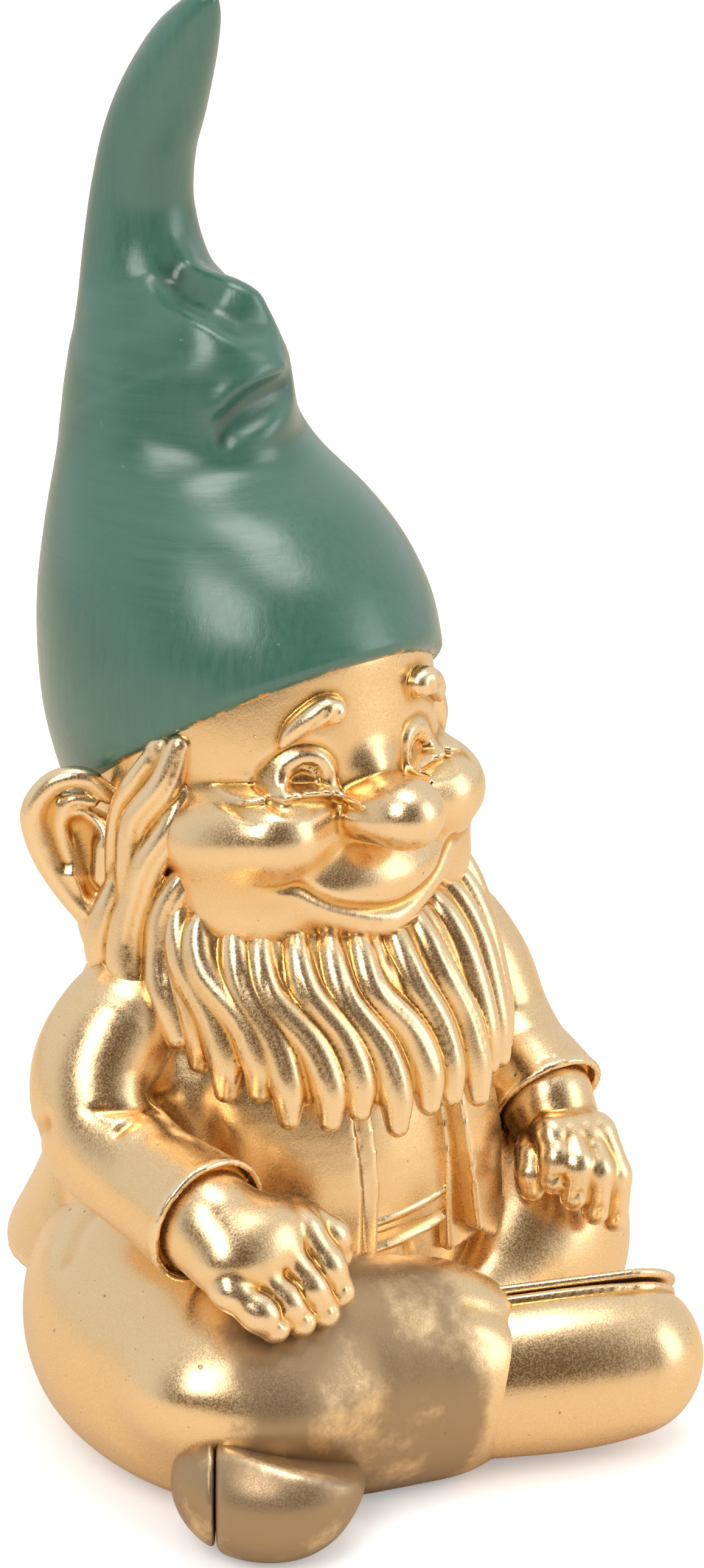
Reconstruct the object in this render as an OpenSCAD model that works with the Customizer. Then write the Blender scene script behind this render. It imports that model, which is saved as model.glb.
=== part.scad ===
// Seated garden gnome in cast resin, cross-legged, with a tall bent hat.
// It faces -Y, its right side is -X, and it rests on Z = 0 with the origin in its vent hole.
// Each garment and body part is its own casting, and spigots locate the castings in each other.

/* [Figure] */
// Outer radius of the hat brim, side to side
brim_r = 39; // [38.5:0.5:40]
// Half the width of the head without the ears
head_r = 35; // [34:0.5:36]
// Half the width of the jacket across the chest
chest_r = 41; // [40:0.5:42]
// Thickness of the cast walls
wall = 4; // [3:0.5:4.5]
// Glue gap left between neighbouring castings
gap = 0.3; // [0.2:0.05:0.4]

/* [Beard] */
// Number of hanging locks across the beard
locks = 15; // [11:2:17]
// Radius of one lock at its thickest
lock_r = 4.3; // [4:0.1:5]

/* [Limbs] */
// Radius of a sleeve at the forearm
sleeve_r = 11.5; // [11:0.5:12]
// Half the width of a boot
boot_r = 16.5; // [15.5:0.5:17]
// Thickness of a boot sole
sole_t = 2.5; // [2:0.5:3]

/* [Belt and base] */
// Outer radius of the belt
belt_r = 39.5; // [39:0.25:40]
// Width of the belt band
belt_w = 8; // [6:0.5:9]
// Radius of the plate that closes the hollow figure
plate_r = 24; // [20:1:25]
// Thickness of that plate
plate_t = 4; // [3:0.5:5]
// Diameter of the vent hole in the plate
vent_d = 10; // [6:0.5:12]
// Diameter of the spigot under the head
neck_d = 26; // [22:1:28]
// Diameter of the spigot on each hand
wrist_d = 9; // [8:0.5:10]

/* [Hidden] */
$fn = 18;
SMALL = 8; // facets of fingers, locks and other small forms
GOLD = "goldenrod";
GREEN = "seagreen";
RIGHT = -1;
LEFT = 1;

// ---- building blocks ----

// An ellipsoid [x, y, z, rx, ry, rz] grown by g
module ball(b, g = 0)
  translate([b[0], b[1], b[2]]) scale([b[3] + g, b[4] + g, b[5] + g]) sphere(r = 1);
// A rounded body through a chain of ellipsoids
module limb(balls, g = 0)
  for (i = [0 : len(balls) - 2])
    hull() {
      ball(balls[i], g);
      ball(balls[i + 1], g);
    }
// A round cord of a finger or lock through points [x, y, z, r]
module strand(points)
  limb([for (p = points) [p[0], p[1], p[2], p[3], p[3], p[3]]], $fn = SMALL);
// One thin elliptical slice [x, y, z, rx, ry, lean about X] grown by g
module slice(s, g = 0)
  translate([s[0], s[1], s[2]]) rotate([s[5], 0, 0]) scale([s[3] + g, s[4] + g, 1])
    cylinder(r = 1, h = 0.2, $fn = 28);
// A closed body lofted through slices
module loft(slices, g = 0)
  for (i = [0 : len(slices) - 2])
    hull() {
      slice(slices[i], g);
      slice(slices[i + 1], g);
    }
// The same list with its first entries' X mirrored for the left side
function sided(side, b) = [side * b[0], b[1], b[2], b[3], b[4], b[5]];

// ---- hat ----
HAT = [[0, 3, 140.5, brim_r - 2, 46, -33], [0, 8, 153, brim_r, 44, -27], [0, 11.5, 163, brim_r - 0.5, 41.5, -22],
       [0, 15, 173.5, 36.5, 37.5, -16], [0, 19, 184, 32, 33, -10], [0, 24, 194, 26.5, 27, -3],
       [0, 27, 202, 23.5, 23.5, 0], [0, 27, 213, 22, 22.5, 6], [0, 29.5, 222, 19.8, 20.5, 12],
       [0, 35, 229, 14, 15, 16], [0, 38.3, 237, 11.8, 12, 4], [0, 38.3, 246, 10.7, 10.7, -10],
       [0, 36.3, 255.5, 10.2, 10.2, -22], [0, 32.5, 265.5, 9.8, 9.6, -32], [0, 27.3, 273.8, 8.8, 8.6, -38],
       [0, 21.2, 281, 6.8, 6.4, -42], [0, 15, 286.6, 2.6, 2.6, -45]];
CROWN = [for (i = [0 : 4]) HAT[i]];
// The same slices carried 1 mm out through the brim, so that the hollow opens cleanly
HOLLOW = concat([HAT[0] - [0, sin(33), cos(33), 0, 0, 0]], CROWN);
module hat()
  color(GREEN) difference() {
    loft(HAT);
    loft(HOLLOW, -wall);
  }

// ---- head ----
BROW = [[6, -31, 153, 2], [10, -31.5, 155.5, 2.6], [15, -30, 155.5, 2.8], [20, -27.5, 152, 2]];
module face_mass(g = 0) {
  limb([[0, 4, 136, head_r, 36.5, 33], [0, -5, 123, 30, 29, 20]], g);
  limb([[-11, -9, 148, 19, 23, 20], [11, -9, 148, 19, 23, 20]], g);
  limb([[0, -12, 116, 22, 23, 14], [0, -20, 108, 14, 16, 10]], g);
  limb([[-20, -24, 131, 12.5, 13, 11.5], [0, -26, 133, 10, 8, 10], [20, -24, 131, 12.5, 13, 11.5]], g);
  limb([[0, -32, 141, 6, 7, 7], [0, -43, 136, 9, 9, 7.5]], g);
  limb([[-14, -26, 114, 4, 5, 4], [0, -32, 109, 7, 5, 4], [14, -26, 114, 4, 5, 4]], g);
}
module head()
  color(GOLD) {
    difference() {
      face_mass();
      loft([HAT[0] + [0, 0, 0.4, 0, 0, 0], HAT[1], HAT[2], HAT[3], HAT[4], HAT[5]], 12);
    }
    loft([HAT[0], HAT[1], HAT[2], HAT[3]], -wall - gap);
    for (side = [RIGHT, LEFT]) {
      strand([for (p = BROW) [side * p[0], p[1], p[2], p[3]]]);
      ball([side * 11.5, -28, 143, 6, 5, 5], $fn = SMALL);
    }
    translate([0, 3, 92]) cylinder(d = neck_d, h = 20);
  }

// ---- ears, hair and beard ----
module ear_mass(side, g = 0)
  limb([[side * 36, 5, 121, 6, 7, 11], [side * 42, 10, 128, 4, 7, 10], [side * 45.5, 13, 131, 3.5, 6, 7]], g);
module ear(side)
  color(GOLD) difference() {
    ear_mass(side);
    ball([side * 49, 6, 128, 5, 6, 8]);
    face_mass(gap);
    loft(HAT, gap);
  }
module right_ear() ear(RIGHT);
module left_ear() ear(LEFT);

SIDE_HAIR = [[33.5, -9, 142, 4, 8, 6], [35.5, -7, 128, 4, 8, 8], [37, -4, 114, 5, 8, 8],
             [38, -4, 102, 6, 8, 8], [37, -9, 94, 6, 7, 7]];
module hair_mass(g = 0) {
  for (side = [RIGHT, LEFT]) limb([for (b = SIDE_HAIR) sided(side, b)], g);
  limb([[-34, 7, 106, 5, 10, 11], [-21, 27, 110, 9, 8, 15], [0, 33, 110, 11, 8, 16],
        [21, 27, 110, 9, 8, 15], [34, 7, 106, 5, 10, 11]], g);
}
module hair()
  color(GOLD) difference() {
    hair_mass();
    face_mass(gap);
    loft(HAT, gap);
    for (side = [RIGHT, LEFT]) ear_mass(side, gap);
    torso_mass(gap);
    arm_mass(R_ARM, gap);
    arm_mass(L_ARM, gap);
  }

// A lock hangs from the jaw line; t runs from -1 at the right cheek to 1 at the left
module lock(t) {
  root = [33.5 * sin(90 * t), -1 - 33 * cos(75 * t), 112 + 8 * t * t];
  tip = [35.5 * sin(90 * t), -8 - 43 * cos(74 * t), 66 + 14 * pow(abs(t), 2.4)];
  middle = (root + tip) / 2 - [0, 2, 0];
  strand([[root[0], root[1], root[2], lock_r], [middle[0], middle[1], middle[2], lock_r],
          [tip[0], tip[1], tip[2], lock_r * 0.7]]);
}
module beard_mass() {
  for (i = [0 : locks - 1]) lock(2 * i / (locks - 1) - 1);
  limb([[0, -18, 104, 30, 16, 10], [0, -24, 78, 28, 22, 8]]);
}
module beard()
  color(GOLD) difference() {
    beard_mass();
    face_mass(gap);
    torso_mass(gap);
    hair_mass(gap);
    arm_mass(R_ARM, gap);
    arm_mass(L_ARM, gap);
    translate([0, 3, 90]) cylinder(d = neck_d + 2 * gap, h = 20);
  }

// ---- jacket, shirt and belt ----
WAIST_Y = -4; // the belt's centre line stands here
BELT_Z = 47; // lower edge of the belt
OPENING = 11; // half the width of the open front
TORSO = [[0, 6, 32, 48, 50, 0], [0, 2, 45, 45, 47.5, 0], [0, 0, 62, 42.5, 45, 0],
         [0, 0, 80, chest_r, 40, 0], [0, 2, 93, 35, 32, 0], [0, 3, 101, 27, 22, 0]];
module torso_mass(g = 0) loft(TORSO, g);
module jacket()
  color(GOLD) difference() {
    torso_mass();
    loft([for (s = TORSO) s - [0, 0, 1, 0, 0, 0]], -wall);
    translate([0, 3, 90]) cylinder(d = neck_d + 2 * gap, h = 20);
    translate([-OPENING - gap, -60, 20]) cube([2 * (OPENING + gap), 60, 72]);
    translate([0, WAIST_Y, BELT_Z - gap]) cylinder(r = belt_r + gap, h = belt_w + 2 * gap, $fn = 48);
    seat_mass(gap);
  }
module shirt()
  color(GOLD) intersection() {
    translate([-OPENING, -60, BELT_Z + belt_w + gap]) cube([2 * OPENING, 60, 90 - BELT_Z - belt_w]);
    difference() {
      loft(TORSO, -1.5);
      loft(TORSO, -wall - 0.5);
    }
  }
module belt()
  color(GOLD) difference() {
    translate([0, WAIST_Y, BELT_Z]) cylinder(r = belt_r, h = belt_w, $fn = 48);
    translate([0, WAIST_Y, BELT_Z - 1]) cylinder(r = belt_r - 2.5, h = belt_w + 2, $fn = 48);
  }
// A front edge of the jacket, turned out over the chest and down to its tip
module flap(side, outline)
  color(GOLD) difference() {
    intersection() {
      loft(TORSO, 3);
      translate([side * OPENING, 0, 0]) rotate([90, 0, 0]) scale([side, 1, 1])
        linear_extrude(60) polygon(outline);
    }
    torso_mass(gap);
    seat_mass(gap);
    beard_mass();
  }
module right_jacket_flap() flap(RIGHT, [[0.2, 38], [3, 38], [7, 60], [8, 90], [0.2, 90]]);
module left_jacket_flap() flap(LEFT, [[2, 56], [8, 38], [17, 52], [15, 70], [10, 90], [0.2, 90]]);

// ---- sleeves and hands ----
R_ARM = [[-31, -2, 94, 11, 13, 11], [-43, -5, 90, 12, 13, 12], [-50, -6, 80, 12, 13, 13],
         [-51, -12, 71, 12, 13, 12.5], [-51, -24, 66, sleeve_r, 12, 12], [-50, -37, 63.5, sleeve_r, 8, 12],
         [-50, -43, 62.5, 13.5, 3, 13.5]];
L_ARM = [[31, -2, 94, 11, 13, 11], [42, -5, 90, 12, 13, 12], [47.5, -9, 80, 12, 13, 13],
         [49, -14, 70, 12, 12, 12], [49, -24, 63, sleeve_r, 9, 11], [48, -31, 59, 12.5, 3.5, 12.5]];
module arm_mass(arm, g = 0) limb(arm, g);
R_PALM = [[-49, -44, 61, 7.5, 7, 7], [-47, -53, 59, 10, 8, 7]];
L_PALM = [[47.5, -31, 57, 7.5, 7, 7], [46.5, -39, 52, 9, 8, 7]];
// Wrist spigot and its socket, pointing back into the sleeve from the palm's root
module wrist(palm, lean, g = 0)
  translate([palm[0][0], palm[0][1], palm[0][2]]) rotate([-90 - lean, 0, 0]) cylinder(d = wrist_d + 2 * g, h = 18 + g);
module sleeve(arm, palm, lean)
  color(GOLD) difference() {
    arm_mass(arm);
    torso_mass(gap);
    limb(palm, gap);
    wrist(palm, lean, gap);
  }
module right_sleeve() sleeve(R_ARM, R_PALM, 8);
module left_sleeve() sleeve(L_ARM, L_PALM, 25);
module right_hand()
  color(GOLD) difference() {
    union() {
      limb(R_PALM);
      wrist(R_PALM, 8);
      for (i = [0 : 3])
        strand([[-53 + 5 * i, -57 - i / 2, 60 - i, 3.4], [-49 + 5 * i, -62 - i / 2, 53, 3.2],
                [-45 + 4.6 * i, -62 - i / 2, 44 + i, 2.8]]);
      strand([[-42, -48, 60, 4], [-33, -54, 58, 3.6], [-29, -57, 53, 3]]);
    }
    leg_mass(R_LEG, gap);
  }
module left_hand()
  color(GOLD) difference() {
    union() {
      limb(L_PALM);
      wrist(L_PALM, 25);
      for (i = [0 : 3])
        strand([[40 + 4.4 * i, -44, 51, 3.1], [41 + 4.4 * i, -49, 45, 3], [42 + 4.2 * i, -50, 37, 2.7]]);
      strand([[43, -36, 53, 3.6], [39, -42, 51, 3.2], [38, -45, 47, 2.8]]);
    }
    leg_mass(L_LEG, gap);
  }

// ---- trousers, boots and base ----
SEAT = [[0, 3, 0.3, 34, 31, 0], [0, 5, 8, 41, 37, 0], [0, 5, 20, 43.5, 42, 0],
        [0, 1, 33, 42, 44, 0], [0, WAIST_Y, BELT_Z - 0.5, belt_r - 1, belt_r - 1, 0]];
module seat_mass(g = 0) loft(SEAT, g);
module trouser_seat()
  color(GOLD) difference() {
    seat_mass();
    loft([for (s = SEAT) s + [0, 0, 1, 0, 0, 0]], -wall);
    translate([0, 0, -1]) cylinder(r = plate_r + gap, h = plate_t + gap + 1, $fn = 48);
  }
R_LEG = [[-30, 4, 25, 20, 26, 24.5], [-41, -12, 25, 22, 24, 24.8], [-41, -35, 25, 23.5, 22, 24.8],
         [-22, -48, 22, 22, 19, 21.8], [1, -58, 20, 18.5, 17, 19.8]];
L_LEG = [[30, 4, 25, 20, 26, 24.5], [44, -12, 25, 22, 22, 24.8], [49, -26, 25, 20.5, 20, 24.8],
         [28, -34, 16, 16, 14, 15.8], [2, -40, 13, 12, 12, 12.8]];
module leg_mass(leg, g = 0) limb(leg, g);
module leg(leg_balls)
  color(GOLD) difference() {
    leg_mass(leg_balls);
    seat_mass(gap);
    torso_mass(gap);
    boot_mass(RIGHT, gap);
    boot_mass(LEFT, gap);
  }
module right_trouser_leg() leg(R_LEG);
module left_trouser_leg()
  difference() {
    leg(L_LEG);
    leg_mass(R_LEG, gap);
  }
// Boots: where the ankle stands, which way the toe points, and how far the sole rolls over
BOOT_AT = [[2, -60, 18.7], [-34, -44.5, 17.5]];
BOOT_TURN = [-24, -126];
BOOT_ROLL = [-40, 90];
function boot_index(side) = side == RIGHT ? 0 : 1;
module boot_place(side)
  translate(BOOT_AT[boot_index(side)]) rotate([0, 0, BOOT_TURN[boot_index(side)]])
    rotate([BOOT_ROLL[boot_index(side)], 0, 0]) children();
module boot_mass(side, g = 0)
  boot_place(side) limb([[0, 0, 0, boot_r, boot_r, boot_r], [18, 0, 0, boot_r + 1.5, boot_r + 1, boot_r + 1],
                         [33, 0, 0, boot_r, boot_r, boot_r]], g);
module boot(side)
  color(GOLD) difference() {
    boot_mass(side);
    boot_place(side) translate([-50, -50, boot_r - sole_t - 2]) cube([150, 100, 50]);
  }
module right_boot() boot(RIGHT);
module left_boot() boot(LEFT);
module sole(side)
  color(GOLD) boot_place(side) translate([0, 0, boot_r - sole_t - 2 + gap])
    hull() {
      cylinder(r = boot_r - 4, h = sole_t);
      translate([33, 0, 0]) cylinder(r = boot_r - 3, h = sole_t);
    }
module right_sole() sole(RIGHT);
module left_sole() sole(LEFT);
module base_plate()
  color(GOLD) difference() {
    cylinder(r = plate_r, h = plate_t, $fn = 48);
    translate([0, 0, -1]) cylinder(d = vent_d, h = plate_t + 2, $fn = 32);
  }

hat();
head();
hair();
beard();
right_ear();
left_ear();
jacket();
right_jacket_flap();
left_jacket_flap();
shirt();
belt();
right_sleeve();
left_sleeve();
right_hand();
left_hand();
trouser_seat();
right_trouser_leg();
left_trouser_leg();
right_boot();
left_boot();
right_sole();
left_sole();
base_plate();
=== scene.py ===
"""Seated garden gnome: sculpted castings, gold and green paint, studio light and camera.

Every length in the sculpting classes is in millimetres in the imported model's frame, and
meshes are written in metres. The figure faces -Y and its right side is -X.
"""
import logging
import math
from dataclasses import dataclass
from enum import Enum
from typing import Callable, Iterable, Sequence

import bpy
import numpy as np
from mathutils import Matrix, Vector


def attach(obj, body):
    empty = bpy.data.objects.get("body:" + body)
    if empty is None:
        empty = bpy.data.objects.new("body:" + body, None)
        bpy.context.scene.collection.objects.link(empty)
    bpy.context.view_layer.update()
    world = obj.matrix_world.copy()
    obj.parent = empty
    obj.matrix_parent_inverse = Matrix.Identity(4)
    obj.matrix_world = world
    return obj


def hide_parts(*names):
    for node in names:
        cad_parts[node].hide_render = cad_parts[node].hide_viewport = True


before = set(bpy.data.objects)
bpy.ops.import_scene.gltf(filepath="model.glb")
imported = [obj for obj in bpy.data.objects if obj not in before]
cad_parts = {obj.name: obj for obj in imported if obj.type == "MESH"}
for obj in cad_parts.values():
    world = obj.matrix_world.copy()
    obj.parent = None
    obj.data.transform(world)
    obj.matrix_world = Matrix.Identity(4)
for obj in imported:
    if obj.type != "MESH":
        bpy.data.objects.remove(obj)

log = logging.getLogger("gnome")

MM = 0.001          # metres in a millimetre
FAR = 60.0          # distance that empty clay holds
FOOT = 0.3          # height over the floor at which the castings are cut flat
TINY = 1e-6         # keeps a divisor off zero
BODY = "root"
COARSE = 1.0
WHITE = (1, 1, 1, 1)

Point = Sequence[float]
Array = np.ndarray
Tree = bpy.types.NodeTree
Node = bpy.types.Node
Socket = bpy.types.NodeSocket
Material = bpy.types.Material


class Side(Enum):
    """The figure's own right and left, as the sign of X."""

    RIGHT = -1
    LEFT = 1


class Slot(Enum):
    """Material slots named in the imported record."""

    GOLD = "gold_paint"
    GREEN = "green_paint"
    RESIN = "bare_resin"


# ---------------------------------------------------------------------------
# Sculpting
# ---------------------------------------------------------------------------

def soft_min(a: Array, b: Array, k: float) -> Array:
    """Smallest of two fields, rounded over a width.

    Args:
        a: First distance field.
        b: Second distance field.
        k: Width of the rounding.

    Returns:
        The joined field.
    """
    if k <= 0:
        return np.minimum(a, b)
    h = np.maximum(k - np.abs(a - b), 0) / k
    return np.minimum(a, b) - h * h * k * 0.25


def soft_max(a: Array, b: Array, k: float) -> Array:
    """Largest of two fields, rounded over the width k."""
    return -soft_min(-a, -b, k)


def smooth_path(points: Sequence[Point], steps: int = 6) -> Array:
    """Runs a smooth curve through given points.

    Args:
        points: Points of any dimension, such as x, y, z and radius.
        steps: Number of pieces between two neighbouring points.

    Returns:
        The curve's points, one row each.
    """
    p = np.asarray(points, dtype=np.float64)
    if len(p) < 3:
        t = np.linspace(0, 1, steps + 1)[:, None]
        return p[0] * (1 - t) + p[-1] * t
    q = np.vstack([2 * p[0] - p[1], p, 2 * p[-1] - p[-2]])
    rows = []
    for i in range(len(p) - 1):
        t = np.linspace(0, 1, steps, endpoint=False)[:, None]
        a, b, c, d = q[i], q[i + 1], q[i + 2], q[i + 3]
        rows.append(0.5 * (2 * b + (c - a) * t + (2 * a - 5 * b + 4 * c - d) * t**2
                           + (3 * b - a - 3 * c + d) * t**3))
    rows.append(p[-1:])
    return np.vstack(rows)


def ease(t: Array) -> Array:
    """Smooth step from 0 to 1."""
    t = np.clip(t, 0, 1)
    return t * t * (3 - 2 * t)


def flat_distance(x: Array, z: Array, points: Array) -> tuple[Array, Array]:
    """Distance from a plane of points to a drawn line.

    Args:
        x: First coordinate of the plane.
        z: Second coordinate of the plane.
        points: The line's points, two columns.

    Returns:
        The distance, and how far along the line the nearest point is, from 0 to 1.
    """
    best = np.full(np.broadcast(x, z).shape, FAR)
    along = np.zeros_like(best)
    count = len(points) - 1
    for i in range(count):
        a, b = points[i], points[i + 1]
        ab = b - a
        t = np.clip(((x - a[0]) * ab[0] + (z - a[1]) * ab[1]) / max(ab @ ab, 1e-9), 0, 1)
        d = np.hypot(x - a[0] - ab[0] * t, z - a[1] - ab[1] * t)
        near = d < best
        best = np.where(near, d, best)
        along = np.where(near, (i + t) / count, along)
    return best, along


class Clay:
    """A block of modelling clay, held as a signed distance field on a grid."""

    def __init__(self, low: Point, high: Point, step: float) -> None:
        """Makes an empty block.

        Args:
            low: Lowest corner of the block.
            high: Highest corner of the block.
            step: Spacing of the grid.
        """
        self.step = step * COARSE
        self.low = np.asarray(low, dtype=np.float64)
        counts = np.ceil((np.asarray(high) - self.low) / self.step).astype(int) + 1
        self.axes = [(self.low[i] + self.step * np.arange(counts[i])).astype(np.float32) for i in range(3)]
        self.field = np.full(tuple(counts), FAR, dtype=np.float32)

    def window(self, low: Point, high: Point) -> tuple[tuple, Array, Array, Array]:
        """Cuts the grid down to a box.

        Args:
            low: Lowest corner of the box.
            high: Highest corner of the box.

        Returns:
            The slices of the grid, and its x, y and z coordinates ready to broadcast.
        """
        cuts, out = [], []
        for i in range(3):
            a = int(np.clip(np.floor((low[i] - self.low[i]) / self.step), 0, len(self.axes[i]) - 1))
            b = int(np.clip(np.ceil((high[i] - self.low[i]) / self.step) + 1, a + 1, len(self.axes[i])))
            cuts.append(slice(a, b))
            shape = [1, 1, 1]
            shape[i] = b - a
            out.append(self.axes[i][a:b].reshape(shape))
        return tuple(cuts), out[0], out[1], out[2]

    def grid(self) -> tuple[Array, Array, Array]:
        """The whole grid's x, y and z coordinates, ready to broadcast."""
        return tuple(a.reshape([-1 if i == j else 1 for j in range(3)]) for i, a in enumerate(self.axes))

    def trim(self, d: Array, k: float) -> None:
        """Keeps only the clay inside a field over the whole grid, with rounding k."""
        self.field = soft_max(self.field, d.astype(np.float32), k)

    def stand(self, k: float) -> None:
        """Cuts the clay flat just over the floor, with rounding k."""
        self.trim(FOOT - self.grid()[2], k)

    def put(self, cut: tuple, d: Array, k: float) -> None:
        """Adds a field inside a window, with rounding k."""
        self.field[cut] = soft_min(self.field[cut], d, k)

    def carve(self, cut: tuple, d: Array, k: float) -> None:
        """Takes a field away inside a window, with rounding k."""
        self.field[cut] = soft_max(self.field[cut], -d, k)

    def egg(self, centre: Point, radii: Point, k: float = 2.0, turn: Point = (0, 0, 0),
            remove: bool = False) -> None:
        """Adds or takes away an ellipsoid.

        Args:
            centre: Its centre.
            radii: Its three radii.
            k: Width of the blend.
            turn: Angles in degrees about X, Y and Z.
            remove: True to take it away.
        """
        reach = max(radii) + k + 4
        cut, x, y, z = self.window(np.subtract(centre, reach), np.add(centre, reach))
        p = [x - centre[0], y - centre[1], z - centre[2]]
        if any(turn):
            m = turn_matrix(turn).T
            p = [m[i][0] * p[0] + m[i][1] * p[1] + m[i][2] * p[2] for i in range(3)]
        a, b, c = radii
        k0 = np.sqrt((p[0] / a) ** 2 + (p[1] / b) ** 2 + (p[2] / c) ** 2)
        k1 = np.sqrt((p[0] / a**2) ** 2 + (p[1] / b**2) ** 2 + (p[2] / c**2) ** 2)
        d = (k0 * (k0 - 1) / np.maximum(k1, TINY)).astype(np.float32)
        self.carve(cut, d, k) if remove else self.put(cut, d, k)

    def trace(self, path: Array, reach: float) -> tuple[tuple, Array]:
        """Distance to a round cord of changing radius.

        Args:
            path: Rows of x, y, z and radius.
            reach: How far out the distance is needed.

        Returns:
            The window of the grid, and the distance there.
        """
        big = path[:, 3].max() + reach
        cut = self.window(path[:, :3].min(0) - big, path[:, :3].max(0) + big)[0]
        d = np.full(self.field[cut].shape, FAR, dtype=np.float32)
        start = [c.start for c in cut]
        for a, b in zip(path[:-1], path[1:]):
            r = max(a[3], b[3]) + reach
            sub, sx, sy, sz = self.window(np.minimum(a, b)[:3] - r, np.maximum(a, b)[:3] + r)
            own = tuple(slice(s.start - o, s.stop - o) for s, o in zip(sub, start))
            ab = b[:3] - a[:3]
            t = ((sx - a[0]) * ab[0] + (sy - a[1]) * ab[1] + (sz - a[2]) * ab[2]) / max(ab @ ab, 1e-9)
            t = np.clip(t, 0, 1)
            e = np.sqrt((sx - a[0] - ab[0] * t) ** 2 + (sy - a[1] - ab[1] * t) ** 2
                        + (sz - a[2] - ab[2] * t) ** 2) - (a[3] + (b[3] - a[3]) * t)
            d[own] = np.minimum(d[own], e)
        return cut, d

    def cord(self, points: Sequence[Point], k: float = 1.0, steps: int = 5, remove: bool = False) -> None:
        """Adds or takes away a round cord through points of x, y, z and radius, with blend k."""
        cut, d = self.trace(smooth_path(points, steps), k + 3)
        self.carve(cut, d, k) if remove else self.put(cut, d, k)

    def press(self, points: Sequence[Point], width: float, depth: float, settle: bool = True,
              steps: int = 6) -> None:
        """Presses a soft line into the surface, or raises it with a negative depth.

        Args:
            points: Points of x, y and z near the surface.
            width: Half width of the line.
            depth: How deep it is pressed.
            settle: True to move the points onto the surface first.
            steps: Pieces between neighbouring points.
        """
        path = smooth_path([list(p[:3]) for p in points], steps)
        if settle:
            path = self.settle(path)
        fade = np.clip(2 * np.sin(np.linspace(0, math.pi, len(path))), 0, 1)
        rows = np.column_stack([path, 1.5 * width * (fade - 1)])
        cut, d = self.trace(rows, width * 3)
        self.field[cut] += depth * np.exp(-np.square(d / width))

    def scoop(self, points: Sequence[Point], depth: float, k: float) -> None:
        """Scoops a round channel out of the surface.

        Args:
            points: Rows of x, y, z and the channel's radius, near the surface.
            depth: How deep it goes.
            k: Rounding of its rims.
        """
        rows = np.array(points, dtype=float)
        rows[:, :3] = self.settle(rows[:, :3])
        out = self.slope(rows[:, :3], 2.5)
        out /= np.maximum(np.linalg.norm(out, axis=1), TINY)[:, None]
        rows[:, :3] += out * (rows[:, 3:4] - depth * rows[:, 3:4] / rows[:, 3].max())
        self.cord(rows, k, 6, remove=True)

    def stack(self, slices: Sequence[Point], k: float = 3.0, fine: int = 5) -> None:
        """Adds a form lofted through ellipses that are centred on the X = 0 plane.

        Args:
            slices: Rows of y, z, X radius, other radius and lean about X in degrees.
            k: Rounding where the form ends.
            fine: Ellipses worked out between two given ones.
        """
        rows = smooth_path(slices, fine)
        x, y, z = self.grid()
        yy, zz = y[0], z[0]
        lean = np.radians(rows[:, 4])
        height = [(yy - r[0]) * -math.sin(t) + (zz - r[1]) * math.cos(t) for r, t in zip(rows, lean)]
        size_x = np.full(np.broadcast(yy, zz).shape, rows[0, 2])
        size_v = np.full_like(size_x, rows[0, 3])
        across = (yy - rows[0, 0]) * math.cos(lean[0]) + (zz - rows[0, 1]) * math.sin(lean[0])
        for i in range(len(rows) - 1):
            t = np.clip(height[i] / np.maximum(height[i] - height[i + 1], TINY), 0, 1)
            row = rows[i][:, None, None] * (1 - t) + rows[i + 1][:, None, None] * t
            turn = np.radians(row[4])
            v = (yy - row[0]) * np.cos(turn) + (zz - row[1]) * np.sin(turn)
            here = height[i] >= 0
            size_x = np.where(here, row[2], size_x)
            size_v = np.where(here, row[3], size_v)
            across = np.where(here, v, across)
        rho = np.sqrt((x / size_x) ** 2 + (across / size_v) ** 2)
        d = (rho - 1) * np.minimum(size_x, size_v)
        d = soft_max(d, np.maximum(-height[0], height[-1])[None], k)
        self.field = soft_min(self.field, d.astype(np.float32), k)

    def sample(self, points: Array) -> Array:
        """Reads the field between grid points.

        Args:
            points: Rows of x, y and z.

        Returns:
            The distance at each point.
        """
        g = (points - self.low) / self.step
        top = np.array(self.field.shape) - 2
        i = np.clip(np.floor(g).astype(int), 0, top)
        t = np.clip(g - i, 0, 1)
        out = 0
        for dx in (0, 1):
            for dy in (0, 1):
                for dz in (0, 1):
                    w = ((t[:, 0] if dx else 1 - t[:, 0]) * (t[:, 1] if dy else 1 - t[:, 1])
                         * (t[:, 2] if dz else 1 - t[:, 2]))
                    out = out + w * self.field[i[:, 0] + dx, i[:, 1] + dy, i[:, 2] + dz]
        return out

    def slope(self, points: Array, gap: float) -> Array:
        """Direction in which the field grows at each point, measured over a gap."""
        rows = []
        for i in range(3):
            e = np.zeros(3)
            e[i] = gap
            rows.append(self.sample(points + e) - self.sample(points - e))
        return np.stack(rows, 1) / (2 * gap)

    def settle(self, points: Array, rounds: int = 4) -> Array:
        """Moves points onto the surface along the slope."""
        p = np.array(points, dtype=np.float64)
        for _ in range(rounds):
            g = self.slope(p, self.step)
            d = np.clip(self.sample(p), -4, 4)
            p -= (d / np.maximum((g * g).sum(1), 0.2))[:, None] * g
        return p

    def relief(self, heights: Callable[[Array, Array], Array], y_limit: float, fade: float = 4.0) -> None:
        """Raises the front surface by a height drawn in the X-Z plane.

        Args:
            heights: Gives the height for x and z.
            y_limit: The relief works in front of this Y.
            fade: Distance over which it comes in.
        """
        x, y, z = self.grid()
        h = heights(x[:, :, 0].astype(np.float64), z[0].astype(np.float64))
        near = np.clip((y_limit - y) / fade, 0, 1)
        self.field -= (h[:, None, :] * near).astype(np.float32)

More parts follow.
